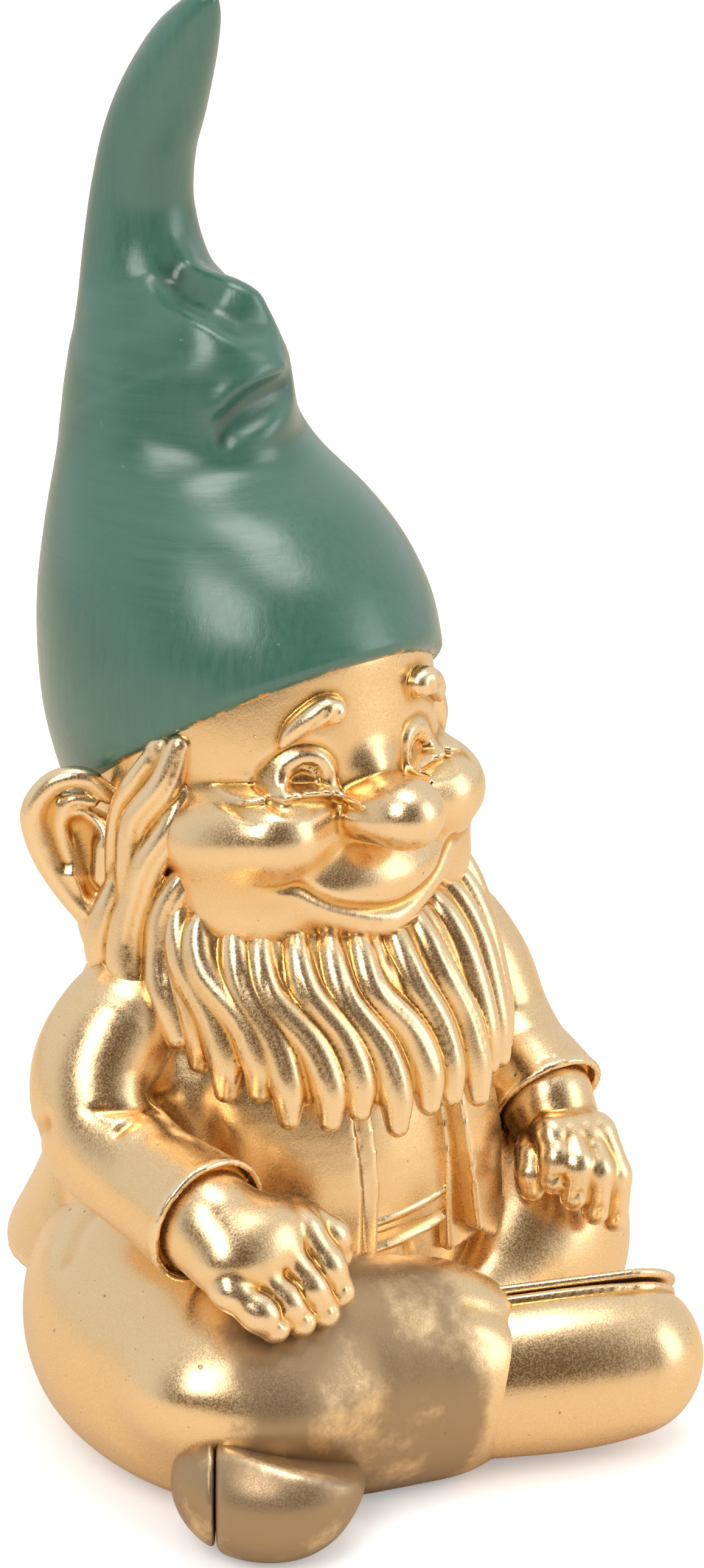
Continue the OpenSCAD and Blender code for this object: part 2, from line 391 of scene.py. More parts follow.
    def cap(self) -> None:
        """Closes the surface at the borders of the block."""
        for i in range(3):
            for end in (0, -1):
                at = [slice(None)] * 3
                at[i] = end
                self.field[tuple(at)] = np.maximum(self.field[tuple(at)], self.step * 0.5)

    def skin(self) -> tuple[Array, Array]:
        """Draws a mesh of four-sided faces around the clay.

        Returns:
            The vertices in millimetres, and the faces as rows of four indices.
        """
        self.cap()
        f = self.field
        inside = f < 0
        n = [s - 1 for s in f.shape]
        corner = [(a, b, c) for a in (0, 1) for b in (0, 1) for c in (0, 1)]
        total = np.zeros(n, dtype=np.int8)
        for a, b, c in corner:
            total += inside[a:a + n[0], b:b + n[1], c:c + n[2]]
        cells = np.argwhere((total > 0) & (total < 8))
        values = np.stack([f[cells[:, 0] + a, cells[:, 1] + b, cells[:, 2] + c] for a, b, c in corner], 1)
        place = np.zeros((len(cells), 3))
        hits = np.zeros(len(cells))
        for i, p in enumerate(corner):
            for axis in range(3):
                if p[axis]:
                    continue
                q = list(p)
                q[axis] = 1
                j = corner.index(tuple(q))
                u, v = values[:, i], values[:, j]
                cross = (u < 0) != (v < 0)
                t = np.where(cross, u / np.where(cross, u - v, 1), 0)
                for k in range(3):
                    place[:, k] += np.where(cross, p[k] + (t if k == axis else 0), 0)
                hits += cross
        verts = self.low + (cells + place / hits[:, None]) * self.step
        number = np.full(n, -1, dtype=np.int64)
        number[tuple(cells.T)] = np.arange(len(cells))
        quads = []
        for axis in range(3):
            u, v = [k for k in range(3) if k != axis]
            lead = [slice(None)] * 3
            lead[axis] = slice(0, -1)
            trail = [slice(None)] * 3
            trail[axis] = slice(1, None)
            a, b = inside[tuple(lead)], inside[tuple(trail)]
            edge = np.argwhere(a != b)
            ok = (edge[:, u] > 0) & (edge[:, v] > 0) & (edge[:, u] < n[u]) & (edge[:, v] < n[v])
            edge = edge[ok]
            flip = a[tuple(edge.T)]
            ring = []
            for du, dv in ((1, 1), (0, 1), (0, 0), (1, 0)):
                at = edge.copy()
                at[:, u] -= du
                at[:, v] -= dv
                ring.append(number[tuple(at.T)])
            q = np.stack(ring, 1)
            if axis == 1:
                flip = ~flip
            q[~flip] = q[~flip][:, ::-1]
            quads.append(q)
        faces = np.vstack(quads)
        verts = relax(verts, faces, 1)
        return self.settle(verts, 2), faces


def turn_matrix(turn: Point) -> Array:
    """Rotation about X, then Y, then Z, from angles in degrees."""
    a, b, c = (math.radians(t) for t in turn)
    rx = np.array([[1, 0, 0], [0, math.cos(a), -math.sin(a)], [0, math.sin(a), math.cos(a)]])
    ry = np.array([[math.cos(b), 0, math.sin(b)], [0, 1, 0], [-math.sin(b), 0, math.cos(b)]])
    rz = np.array([[math.cos(c), -math.sin(c), 0], [math.sin(c), math.cos(c), 0], [0, 0, 1]])
    return rz @ ry @ rx


def relax(verts: Array, faces: Array, rounds: int) -> Array:
    """Evens out a mesh by moving each vertex towards its neighbours.

    Args:
        verts: Vertex rows.
        faces: Faces of four vertices.
        rounds: Number of passes.

    Returns:
        The moved vertices.
    """
    pairs = np.vstack([faces[:, [i, (i + 1) % 4]] for i in range(4)])
    count = np.bincount(pairs.ravel(), minlength=len(verts)).astype(float)
    for _ in range(rounds):
        total = np.zeros_like(verts)
        for k in range(3):
            total[:, k] = (np.bincount(pairs[:, 0], verts[pairs[:, 1], k], len(verts))
                           + np.bincount(pairs[:, 1], verts[pairs[:, 0], k], len(verts)))
        verts = 0.5 * verts + 0.5 * total / np.maximum(count, 1)[:, None]
    return verts


# ---------------------------------------------------------------------------
# Finishes
# ---------------------------------------------------------------------------

def new_group(name: str, inputs: dict[str, float], outputs: dict[str, str]) -> Tree:
    """Starts a shader node group.

    Args:
        name: The group's name.
        inputs: Float inputs and their values.
        outputs: Output names and their socket types.

    Returns:
        The group, with an input node named "in" and an output node named "out".
    """
    group = bpy.data.node_groups.new(name, "ShaderNodeTree")
    for key, value in inputs.items():
        socket = group.interface.new_socket(name=key, in_out="INPUT", socket_type="NodeSocketFloat")
        socket.default_value = value
    for key, kind in outputs.items():
        group.interface.new_socket(name=key, in_out="OUTPUT", socket_type=kind)
    group.nodes.new("NodeGroupInput").name = "in"
    group.nodes.new("NodeGroupOutput").name = "out"
    return group


class Wiring:
    """Short calls that add nodes to one node tree."""

    def __init__(self, tree: Tree) -> None:
        """Keeps the tree."""
        self.tree = tree

    def add(self, kind: str, **settings: object) -> Node:
        """Adds a node and sets its properties."""
        node = self.tree.nodes.new(kind)
        for key, value in settings.items():
            setattr(node, key, value)
        return node

    def join(self, source: object, target: object) -> None:
        """Sets an input from an output or a plain value."""
        if isinstance(source, Socket):
            self.tree.links.new(source, target)
        else:
            target.default_value = source

    def math(self, operation: str, a: object, b: object = 0.0, clamp: bool = False) -> Socket:
        """One Math node over two values."""
        node = self.add("ShaderNodeMath", operation=operation, use_clamp=clamp)
        self.join(a, node.inputs[0])
        self.join(b, node.inputs[1])
        return node.outputs[0]

    def ramp(self, value: object, low: float, high: float, start: float = 0.0,
             end: float = 1.0) -> Socket:
        """Maps low..high smoothly onto start..end."""
        node = self.add("ShaderNodeMapRange", interpolation_type="SMOOTHSTEP")
        self.join(value, node.inputs["Value"])
        for key, number in (("From Min", low), ("From Max", high), ("To Min", start), ("To Max", end)):
            node.inputs[key].default_value = number
        return node.outputs["Result"]

    def mix(self, factor: object, a: object, b: object) -> Socket:
        """Mixes two colours."""
        node = self.add("ShaderNodeMix", data_type="RGBA")
        self.join(factor, node.inputs["Factor"])
        self.join(a, node.inputs["A"])
        self.join(b, node.inputs["B"])
        return next(o for o in node.outputs if o.type == "RGBA")

    def scaled(self, value: object, times: float, plus: float) -> Socket:
        """Multiplies a value and adds a number."""
        result = self.math("MULTIPLY_ADD", value, times)
        result.node.inputs[2].default_value = plus
        return result

    def place(self) -> Socket:
        """The point on the object, in metres."""
        return self.add("ShaderNodeTexCoord").outputs["Object"]

    def layer(self, name: str) -> Socket:
        """A value that the mesh holds at its vertices."""
        return self.add("ShaderNodeAttribute", attribute_name=name).outputs["Fac"]

    def bump(self, height: object, strength: float, depth: float, shader: Node) -> None:
        """Feeds a height into the shader's normal, with the depth in metres."""
        node = self.add("ShaderNodeBump")
        node.inputs["Strength"].default_value = strength
        node.inputs["Distance"].default_value = depth
        self.join(height, node.inputs["Height"])
        self.join(node.outputs["Normal"], shader.inputs["Normal"])

    def noise(self, place: object, scale: object, detail: float = 2.0, rough: float = 0.5) -> Socket:
        """Noise over a place, with scale in lumps per metre."""
        node = self.add("ShaderNodeTexNoise")
        self.join(place, node.inputs["Vector"])
        self.join(scale, node.inputs["Scale"])
        node.inputs["Detail"].default_value = detail
        node.inputs["Roughness"].default_value = rough
        return node.outputs["Fac"]

    def stretch(self, place: object, scale: Point, turn: Point = (0, 0, 0)) -> Socket:
        """Turns and stretches a place before a texture reads it."""
        node = self.add("ShaderNodeMapping")
        self.join(place, node.inputs["Vector"])
        node.inputs["Scale"].default_value = scale
        node.inputs["Rotation"].default_value = [math.radians(t) for t in turn]
        return node.outputs["Vector"]

    def specks(self, place: object, scale: float, size: float, keep: float) -> Socket:
        """Scattered dots of mixed sizes: 1 inside a dot and 0 elsewhere.

        Args:
            place: Where the texture is read.
            scale: Cells per metre.
            size: Radius of the largest dot, as a share of its cell.
            keep: Share of the cells that hold a dot.

        Returns:
            The mask.
        """
        node = self.add("ShaderNodeTexVoronoi")
        self.join(place, node.inputs["Vector"])
        node.inputs["Scale"].default_value = scale
        split = self.add("ShaderNodeSeparateColor")
        self.join(node.outputs["Color"], split.inputs[0])
        chosen = self.math("LESS_THAN", split.outputs[0], keep)
        size_here = self.math("MULTIPLY", split.outputs[1], size)
        dot = self.math("SUBTRACT", size_here, node.outputs["Distance"])
        soft_rim = 0.35 * size
        return self.math("MULTIPLY", self.ramp(dot, 0.0, soft_rim), chosen)


def wear_and_painted_light_group() -> Tree:
    """Builds the masks that every finish shares, for worn paint and for painted shade and highlight.

    Returns:
        The group. Hollow and Edge come from the mesh's hollow layer, with a ragged border; Hollow is
        painted shade for the creases and Edge painted highlight for proud edges. Grain, Patches and
        Pits are noise, and Height joins the lumps, pits and grain for a Bump node.
    """
    outputs = ("Hollow", "Edge", "Grain", "Patches", "Pits", "Height")
    group = new_group("Cast wear", {"Hollow reach": 0.25, "Edge reach": 0.25, "Grain": 2600.0},
                      dict.fromkeys(outputs, "NodeSocketFloat"))
    w = Wiring(group)
    enter, leave = group.nodes["in"], group.nodes["out"]
    place = w.place()
    ragged = w.math("MULTIPLY", w.layer("hollow"), w.scaled(w.noise(place, 420, 3), 0.5, 0.75))
    # Hollow and Edge: masks for painted shade in the creases and painted highlight on proud edges.
    hollow = w.math("DIVIDE", ragged, enter.outputs["Hollow reach"], clamp=True)
    proud = w.math("DIVIDE", ragged, enter.outputs["Edge reach"])
    edge = w.math("MULTIPLY", proud, -1.0, clamp=True)
    grain = w.noise(place, enter.outputs["Grain"], 3)
    patches = w.ramp(w.noise(place, 38, 5, 0.62), 0.42, 0.66)
    pits = w.specks(place, 260, 0.16, 0.10)
    fine_pits = w.specks(w.stretch(place, (1, 1, 1), (20, 35, 50)), 900, 0.22, 0.12)
    lumps = w.math("MULTIPLY", w.noise(place, 130, 3), 0.5)
    pitted = w.math("SUBTRACT", lumps, w.math("MULTIPLY", pits, 1.2))
    height = w.math("ADD", pitted, w.math("MULTIPLY", grain, 0.12))
    all_pits = w.math("MAXIMUM", pits, fine_pits)
    for key, value in zip(outputs, (hollow, edge, grain, patches, all_pits, height)):
        w.join(value, leave.inputs[key])
    return group


class Finishes:
    """Builds each finish once and hands it out by its title."""

    def __init__(self) -> None:
        """Makes the shared group and an empty shelf of materials."""
        self.wear_and_painted_light = wear_and_painted_light_group()
        self.made: dict[str, Material] = {}

    def get(self, finish: "Finish") -> Material:
        """Returns the material of a finish, built on first use."""
        if finish.title not in self.made:
            self.made[finish.title] = finish.build(self.wear_and_painted_light)
        return self.made[finish.title]


@dataclass(frozen=True)
class Finish:
    """A painted or bare surface; colours are linear."""

    title: str
    slot: Slot

    def start(self, wear_and_painted_light: Tree) -> tuple[Material, Wiring, Node, Node]:
        """Makes the material and puts the shared mask group, for worn paint and painted light, and the
        Principled shader in it.

        Args:
            wear_and_painted_light: The shared group of masks for worn paint and painted light.

        Returns:
            The material, its wiring, the mask group's node and the shader node.
        """
        material = bpy.data.materials.new(self.title)
        material.use_nodes = True
        w = Wiring(material.node_tree)
        node = w.add("ShaderNodeGroup")
        node.node_tree = wear_and_painted_light
        shader = material.node_tree.nodes["Principled BSDF"]
        return material, w, node, shader

    def build(self, wear_and_painted_light: Tree) -> Material:
        """Builds the material; each finish says how."""
        raise NotImplementedError


@dataclass(frozen=True)
class GoldPaint(Finish):
    """Metallic gold paint with painted shade in deep orange in the creases, a painted highlight on proud
    edges, and rubbed brown in places.
    """

    base: Point = (0.88, 0.61, 0.31, 1)
    # deep: the colour of the painted shade in the creases.
    deep: Point = (0.70, 0.37, 0.08, 1)
    # pale: the light flecks of the grain, and the painted highlight on proud edges.
    pale: Point = (0.97, 0.79, 0.54, 1)
    rubbed: Point = (0.33, 0.22, 0.125, 1)
    roughness: float = 0.22
    grain_rough: float = 0.14
    rub_rough: float = 0.14
    rub_dull: float = 0.2
    rub: float = 0.85
    bump: tuple[float, float] = (0.35, 0.0006)

    def build(self, wear_and_painted_light: Tree) -> Material:
        """Builds the gold from the masks, with painted shade in the creases and painted highlight on the
        edges.

        Args:
            wear_and_painted_light: The shared group of masks for worn paint and painted light.

        Returns:
            The material.
        """
        material, w, node, shader = self.start(wear_and_painted_light)
        grain = w.ramp(node.outputs["Grain"], 0.35, 0.68)
        colour = w.mix(w.math("MULTIPLY", grain, 0.45), self.base, self.pale)
        # Painted highlight: proud edges turn pale.
        colour = w.mix(w.math("MULTIPLY", node.outputs["Edge"], 0.55), colour, self.pale)
        # Painted shade: the creases turn deep orange.
        colour = w.mix(w.math("MULTIPLY", node.outputs["Hollow"], 0.8), colour, self.deep)
        ragged = w.scaled(w.noise(w.place(), 55, 6, 0.65), 1.7, -0.9)
        worn = w.ramp(w.math("ADD", w.layer("rub"), ragged), 0.45, 0.85)
        brown = w.math("MAXIMUM", w.math("MULTIPLY", worn, self.rub, clamp=True),
                       w.math("MULTIPLY", node.outputs["Pits"], 0.7))
        w.join(w.mix(brown, colour, self.rubbed), shader.inputs["Base Color"])
        rough = w.math("ADD", w.scaled(grain, self.grain_rough, self.roughness),
                       w.math("MULTIPLY", brown, self.rub_rough))
        w.join(rough, shader.inputs["Roughness"])
        w.join(w.scaled(brown, -self.rub_dull, 1.0), shader.inputs["Metallic"])
        w.bump(node.outputs["Height"], *self.bump, shader)
        return material


@dataclass(frozen=True)
class GreenPaint(Finish):
    """Brushed satin green paint over gold, chipped along the brim, with painted shade darkening its hollows.
    """

    base: Point = (0.034, 0.122, 0.084, 1)
    light: Point = (0.075, 0.195, 0.140, 1)
    # dark: a random darker cloud in the paint, and the painted shade of the hollows.
    dark: Point = (0.010, 0.058, 0.037, 1)
    gold: Point = (0.80, 0.50, 0.18, 1)
    roughness: float = 0.24
    stroke_rough: float = 0.12
    specular: float = 0.75
    coat: float = 0.5
    coat_roughness: float = 0.25
    bump: tuple[float, float] = (0.3, 0.0004)

    def build(self, wear_and_painted_light: Tree) -> Material:
        """Builds the green from brush strokes and the masks, with painted shade in the hollows.

        Args:
            wear_and_painted_light: The shared group of masks for worn paint and painted light.

        Returns:
            The material.
        """
        material, w, node, shader = self.start(wear_and_painted_light)
        place = w.place()
        across = w.noise(w.stretch(place, (60, 60, 700), (0, 40, 20)), 1.0, 4, 0.6)
        down = w.noise(w.stretch(place, (700, 700, 40), (12, -8, 0)), 1.0, 4, 0.6)
        strokes = w.add("ShaderNodeMix", data_type="FLOAT")
        w.join(w.ramp(w.noise(place, 14, 2), 0.4, 0.6), strokes.inputs["Factor"])
        w.join(across, strokes.inputs["A"])
        w.join(down, strokes.inputs["B"])
        stroke = w.ramp(strokes.outputs["Result"], 0.3, 0.7)
        colour = w.mix(w.math("MULTIPLY", stroke, 0.2), self.base, self.light)
        cloud = w.ramp(w.noise(place, 26, 3), 0.35, 0.7)
        colour = w.mix(w.math("MULTIPLY", cloud, 0.25), colour, self.dark)
        # Painted shade: the hollows darken.
        colour = w.mix(w.math("MULTIPLY", node.outputs["Hollow"], 0.95), colour, self.dark)
        torn = w.scaled(w.noise(place, 240, 4, 0.7), 1.1, -0.55)
        brim_chips = w.ramp(w.math("ADD", w.layer("brim"), torn), 0.96, 1.03)
        spots = w.specks(w.stretch(place, (1, 1, 1), (40, 10, 70)), 95, 0.16, 0.05)
        chips = w.math("MAXIMUM", brim_chips, spots, clamp=True)
        colour = w.mix(chips, colour, self.gold)
        colour = w.mix(w.math("MULTIPLY", node.outputs["Pits"], 0.35), colour, self.light)
        w.join(colour, shader.inputs["Base Color"])
        w.join(chips, shader.inputs["Metallic"])
        w.join(w.scaled(stroke, self.stroke_rough, self.roughness), shader.inputs["Roughness"])
        shader.inputs["Specular IOR Level"].default_value = self.specular
        shader.inputs["Coat Weight"].default_value = self.coat
        shader.inputs["Coat Roughness"].default_value = self.coat_roughness
        w.bump(w.math("ADD", node.outputs["Height"], w.math("MULTIPLY", stroke, 0.2)), *self.bump, shader)
        return material


@dataclass(frozen=True)
class BareResin(Finish):
    """Unpainted cast resin under the base."""

    base: Point = (0.55, 0.50, 0.42, 1)
    stain: Point = (0.30, 0.24, 0.16, 1)
    bump: tuple[float, float] = (0.5, 0.0005)

    def build(self, wear_and_painted_light: Tree) -> Material:
        """Builds the chalky resin.

        Args:
            wear_and_painted_light: The shared group of masks for worn paint and painted light.

        Returns:
            The material.
        """
        material, w, node, shader = self.start(wear_and_painted_light)
        colour = w.mix(w.math("MULTIPLY", node.outputs["Patches"], 0.7), self.base, self.stain)
        colour = w.mix(node.outputs["Pits"], colour, self.stain)
        w.join(colour, shader.inputs["Base Color"])
        w.join(w.ramp(node.outputs["Grain"], 0.3, 0.7, 0.6, 0.85), shader.inputs["Roughness"])
        w.bump(node.outputs["Height"], *self.bump, shader)
        return material


GOLD = GoldPaint("gold paint", Slot.GOLD)
GREEN = GreenPaint("green paint", Slot.GREEN)
RESIN = BareResin("bare resin", Slot.RESIN)


class Bench:
    """Turns clay into finished Blender pieces."""

    def __init__(self) -> None:
        """Lays out the finishes."""
        self.finishes = Finishes()

    def cast(self, name: str, clay: Clay, finish: Finish, nodes: Iterable[str],
             extra: dict[str, Callable[[Array], Array]] | None = None) -> None:
        """Makes the finished piece.

        Args:
            name: The piece's name.
            clay: Its form.
            finish: Its paint.
            nodes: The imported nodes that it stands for.
            extra: Further attributes, worked out from the vertices in millimetres.
        """
        verts, faces = clay.skin()
        mesh = bpy.data.meshes.new(name)
        mesh.vertices.add(len(verts))
        mesh.vertices.foreach_set("co", (verts * MM).ravel())
        mesh.loops.add(faces.size)
        mesh.loops.foreach_set("vertex_index", faces.ravel())
        mesh.polygons.add(len(faces))
        mesh.polygons.foreach_set("loop_start", np.arange(0, faces.size, 4))
        mesh.update(calc_edges=True)
        mesh.validate()
        mesh.polygons.foreach_set("use_smooth", np.ones(len(faces), dtype=bool))
        # The hollow layer: how far smoothing moves each vertex along its outward slope, up in creases and
        # down on proud edges. The paints make it painted shade in the creases and painted highlight on the
        # edges.
        slope = clay.slope(verts, clay.step * 0.7)
        slope /= np.maximum(np.linalg.norm(slope, axis=1), TINY)[:, None]
        rounds = max(4, int(8 / clay.step**2))
        hollow = ((relax(verts, faces, rounds) - verts) * slope).sum(1)
        layers = {"hollow": hollow}
        for key, rule in (extra or {}).items():
            layers[key] = rule(verts)
        for key, values in layers.items():
            layer = mesh.attributes.new(key, "FLOAT", "POINT")
            layer.data.foreach_set("value", values.astype(np.float32))
        piece = bpy.data.objects.new(name, mesh)
        bpy.context.collection.objects.link(piece)
        mesh.materials.append(self.finishes.get(finish))
        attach(piece, BODY)
        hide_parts(*nodes)
        log.info("%s: %d faces", name, len(faces))


# ---------------------------------------------------------------------------
# The figure's pieces
# ---------------------------------------------------------------------------

@dataclass
class Hat:
    """Tall bent hat with a knuckle fold at the front."""

    step: float = 0.95
    wall: float = 4.0
    chipped: float = 3.5
    brim: Point = (3, 140.5, -33)
    slices: Sequence[Point] = (
        (3, 140.5, 37, 46, -33), (8, 153, 39, 44, -27), (11.5, 163, 38.5, 41.5, -22),
        (15, 173.5, 36.5, 37.5, -16), (19, 184, 32, 33, -10), (24, 194, 26.5, 27, -3),
        (27, 202, 23.5, 23.5, 0), (28, 213, 19.6, 20, 4))
    horn: Sequence[Point] = (
        (0, 27, 206, 22), (0, 31.5, 214, 18.5), (0, 35.6, 222, 14.8), (0, 37.7, 230, 12.6),
        (0, 38.4, 238, 11.1), (0, 38, 245, 10.2), (0, 35.6, 255, 9.5), (0, 31, 264.5, 8.9),
        (0, 25, 275, 7.1), (0, 20, 282, 4.7), (0, 16.8, 286, 2.4))
    knuckle: Sequence[Point] = ((0, 15.5, 217, 13), (0, 14.5, 212, 14.2), (0, 14.2, 203.5, 14.8))

    def above_brim(self, y: Array, z: Array) -> Array:
        """Height over the brim's plane."""
        lean = math.radians(self.brim[2])
        return (z - self.brim[1]) * math.cos(lean) - (y - self.brim[0]) * math.sin(lean)

    def form(self) -> Clay:
        """Shapes the outside, the fold and the hollow."""
        block = ((-48, -50, 106), (48, 58, 292), self.step)
        c = Clay(*block)
        c.stack(self.slices, 2.5)
        c.cord(self.horn, 4)
        c.cord(self.knuckle, 5)
        self.fold(c)
        rows = [[r[0], r[1], r[2] - self.wall, r[3] - self.wall, r[4]] for r in self.slices[:5]]
        lean = math.radians(self.brim[2])
        y, z, *rest = rows[0]
        below = [y + self.wall * math.sin(lean), z - self.wall * math.cos(lean), *rest]
        inner = Clay(*block)
        inner.stack([below] + rows, 2)
        c.trim(-inner.field, 0.8)
        return c

    def fold(self, c: Clay) -> None:
        """Works the knuckle fold into the front."""
        upper_ridge = [(-2, 29, 238), (1, 22, 231.8), (2.5, 16, 231), (5, 11, 229.5), (8, 8, 226)]
        upper_hollow = [(-5, 22, 231.5, 2.8), (-5, 17.5, 228.7, 4.2), (-3.5, 10.5, 226.6, 5.4),
                        (-0.5, 6.2, 225, 5.6), (3, 4.8, 224, 4.2), (5.5, 5, 223.3, 2.2)]
        lower_ridge = [(9, 3, 215), (3, 1, 214.6), (-3, 0.8, 213.4), (-8, 2, 210.4), (-10.5, 3.2, 206)]
        lower_hollow = [(7.5, 3, 210, 2.4), (3.5, 1, 209.6, 4.2), (-2, 0.3, 208, 4.8),
                        (-6.8, 1.2, 205.4, 3.6), (-8.5, 2, 203, 2.4)]
        deep = 3.4
        c.press(upper_ridge, 3.2, -1.6)
        c.scoop(upper_hollow, deep, 3.0)
        c.press(lower_ridge, 2.4, -1.2)
        c.scoop(lower_hollow, deep, 2.2)

    def make(self, bench: Bench) -> None:
        """Casts the hat."""
        def brim(p: Array) -> Array:
            """How near each vertex is to the brim, from 0 to 1."""
            return np.clip(1 - self.above_brim(p[:, 1], p[:, 2]) / self.chipped, 0, 1)
        bench.cast("hat_shell", self.form(), GREEN, ["hat"], {"brim": brim})


@dataclass
class Head:
    """Face, brows, eyes and nose in one casting."""

    step: float = 0.55

    def form(self) -> Clay:
        """Builds the skull and adds each feature."""
        c = Clay((-42, -58, 92), (42, 44, 178), self.step)
        c.egg((0, 4, 136), (35, 36.5, 33), 6)
        c.egg((0, -5, 123), (30, 29, 20), 8)
        c.egg((0, -9, 148), (29, 23.5, 21), 8)
        c.stack([[0, 132, 31, 31, -15], [1, 141, 33.5, 36.8, -24], [4.6, 143, 35, 43.4, -33],
                 [6.5, 146, 34, 41, -33]], 4)
        c.egg((0, -15, 113), (22, 23, 15), 8)
        c.cord([(0, 3, 92, 12), (0, 3, 112, 12.5)], 3)
        self.cheeks(c)
        self.mouth(c)
        self.nose(c)
        self.eyes(c)
        return c

    def cheeks(self, c: Clay) -> None:
        """Round laughing cheeks."""
        for s in (-1, 1):
            c.egg((s * 20, -24.5, 131), (13, 13, 10.5), 4)
            c.egg((s * 28, -16, 129), (9, 12, 9), 5)
            c.egg((s * 11, -27, 133), (8, 8, 7), 4)
            c.egg((s * 19, -18, 116), (15, 15.5, 13), 6)

    def mouth(self, c: Clay) -> None:
        """Upper lip, smile and lower lip."""
        c.egg((0, -26.2, 119.5), (21, 14.2, 9.5), 5)
        c.cord([(-21.5, -29.5, 121.5, 1.4), (-13, -33.5, 115.4, 2.9), (0, -37, 111.4, 3.9),
                (13, -33.5, 115.6, 2.9), (21, -29.5, 121.6, 1.4)], 2.2)
        smile = [(-26, -29, 124.6), (-23, -31, 123.4), (-19, -32.5, 121.8), (-15, -34.5, 119.3),
                 (-10, -37.5, 116.8), (-4, -40, 115.2), (3, -40, 115), (10, -37.5, 117), (16, -34, 120.5),
                 (21.5, -31, 123.6), (25, -29, 124.8)]
        c.press(smile, 0.85, 1.8)

    def nose(self, c: Clay) -> None:
        """Long round nose with creased wings and nostrils."""
        c.egg((0, -30.5, 140.5), (5.8, 6, 6), 4)
        c.egg((0, -36.5, 134.6), (10.4, 8.8, 6.3), 1.8)
        c.egg((0, -42.5, 134.8), (8.4, 8.2, 7.3), 3)
        for s in (-1, 1):
            c.press([(s * 9.6, -36, 139), (s * 10.9, -36, 135), (s * 10.2, -36, 130.5)], 0.6, 0.8)
            c.egg((s * 4.8, -41, 128.2), (2.3, 2.6, 1.6), 1, remove=True)

    def eyes(self, c: Clay) -> None:
        """Raised eyeballs framed by lids, with an iris arc each, and the brows."""
        ring = smooth_path([(-22.2, 138.8), (-22, 142), (-20.2, 145.6), (-16.2, 148.2), (-12, 147.4),
                            (-9.6, 144.2), (-9, 141), (-9, 137.6)], 5)
        iris = smooth_path([(-18.8, 140), (-18.2, 142.8), (-15.6, 144.6), (-13.1, 143.2), (-12.4, 139.6)], 5)
        lid = smooth_path([(-27.5, 139.9), (-22, 140.5), (-14, 140), (-9, 139)], 5)
        under = smooth_path([(-29, 137.5), (-26, 138.6), (-21, 139.1), (-15, 138.8), (-10.8, 138)], 5)
        over = smooth_path([(-27.5, 141.2), (-25, 141.6), (-22.4, 141.4)], 4)

        bridge, bridge_fade = 7.4, 1.4
        left_shift = 2.5

        def heights(x: Array, z: Array) -> Array:
            """Height of both eyes' lines, which stay clear of the bridge of the nose."""
            clear = ease((np.abs(x) - bridge) / bridge_fade)
            x = np.where(x > 0, -x - left_shift, x)
            deep = -polygon_field(x, z, ring)
            h = 0.95 * ease((deep + 0.6) / 1.4) - 0.45 * np.exp(-((deep + 1.2) / 0.7) ** 2)
            h -= 1.25 * ease((deep - 2.3) / 1.0)
            d, _ = flat_distance(x, z, iris)
            h += 0.8 * np.exp(-(d / 0.5) ** 2) - 0.2 * np.exp(-(d / 1.2) ** 2)
            h += 0.5 * np.exp(-(((x + 13.8) / 2.2) ** 2 + ((z - 141.2) / 2) ** 2))
            for line, width, height in ((lid, 0.9, 0.6), (under, 1.0, -0.9), (over, 0.9, -0.5)):
                d, _ = flat_distance(x, z, line)
                h += height * np.exp(-(d / width) ** 2)
            return h * clear

        c.relief(heights, -8)
        brow = ((19.3, -29, 149.8, 0.9), (17.6, -30, 152.4, 1.9), (14.8, -31.8, 155, 2.5),
                (12, -33, 156.2, 3.0), (10.2, -33.2, 156, 2.9))
        for s, shift in ((-1, 0), (1, 3)):
            c.cord([(s * (x + shift), y + 0.5 * shift, z, r) for x, y, z, r in brow], 0.7)
            for x in (12 + shift, 14.8 + shift):
                c.press([(s * (x + 1.6), -35, 152.5), (s * (x - 1.2), -36, 157.8)], 0.5, 0.9)

    def make(self, bench: Bench) -> None:
        """Casts the head."""
        bench.cast("head_casting", self.form(), GOLD, ["head"])


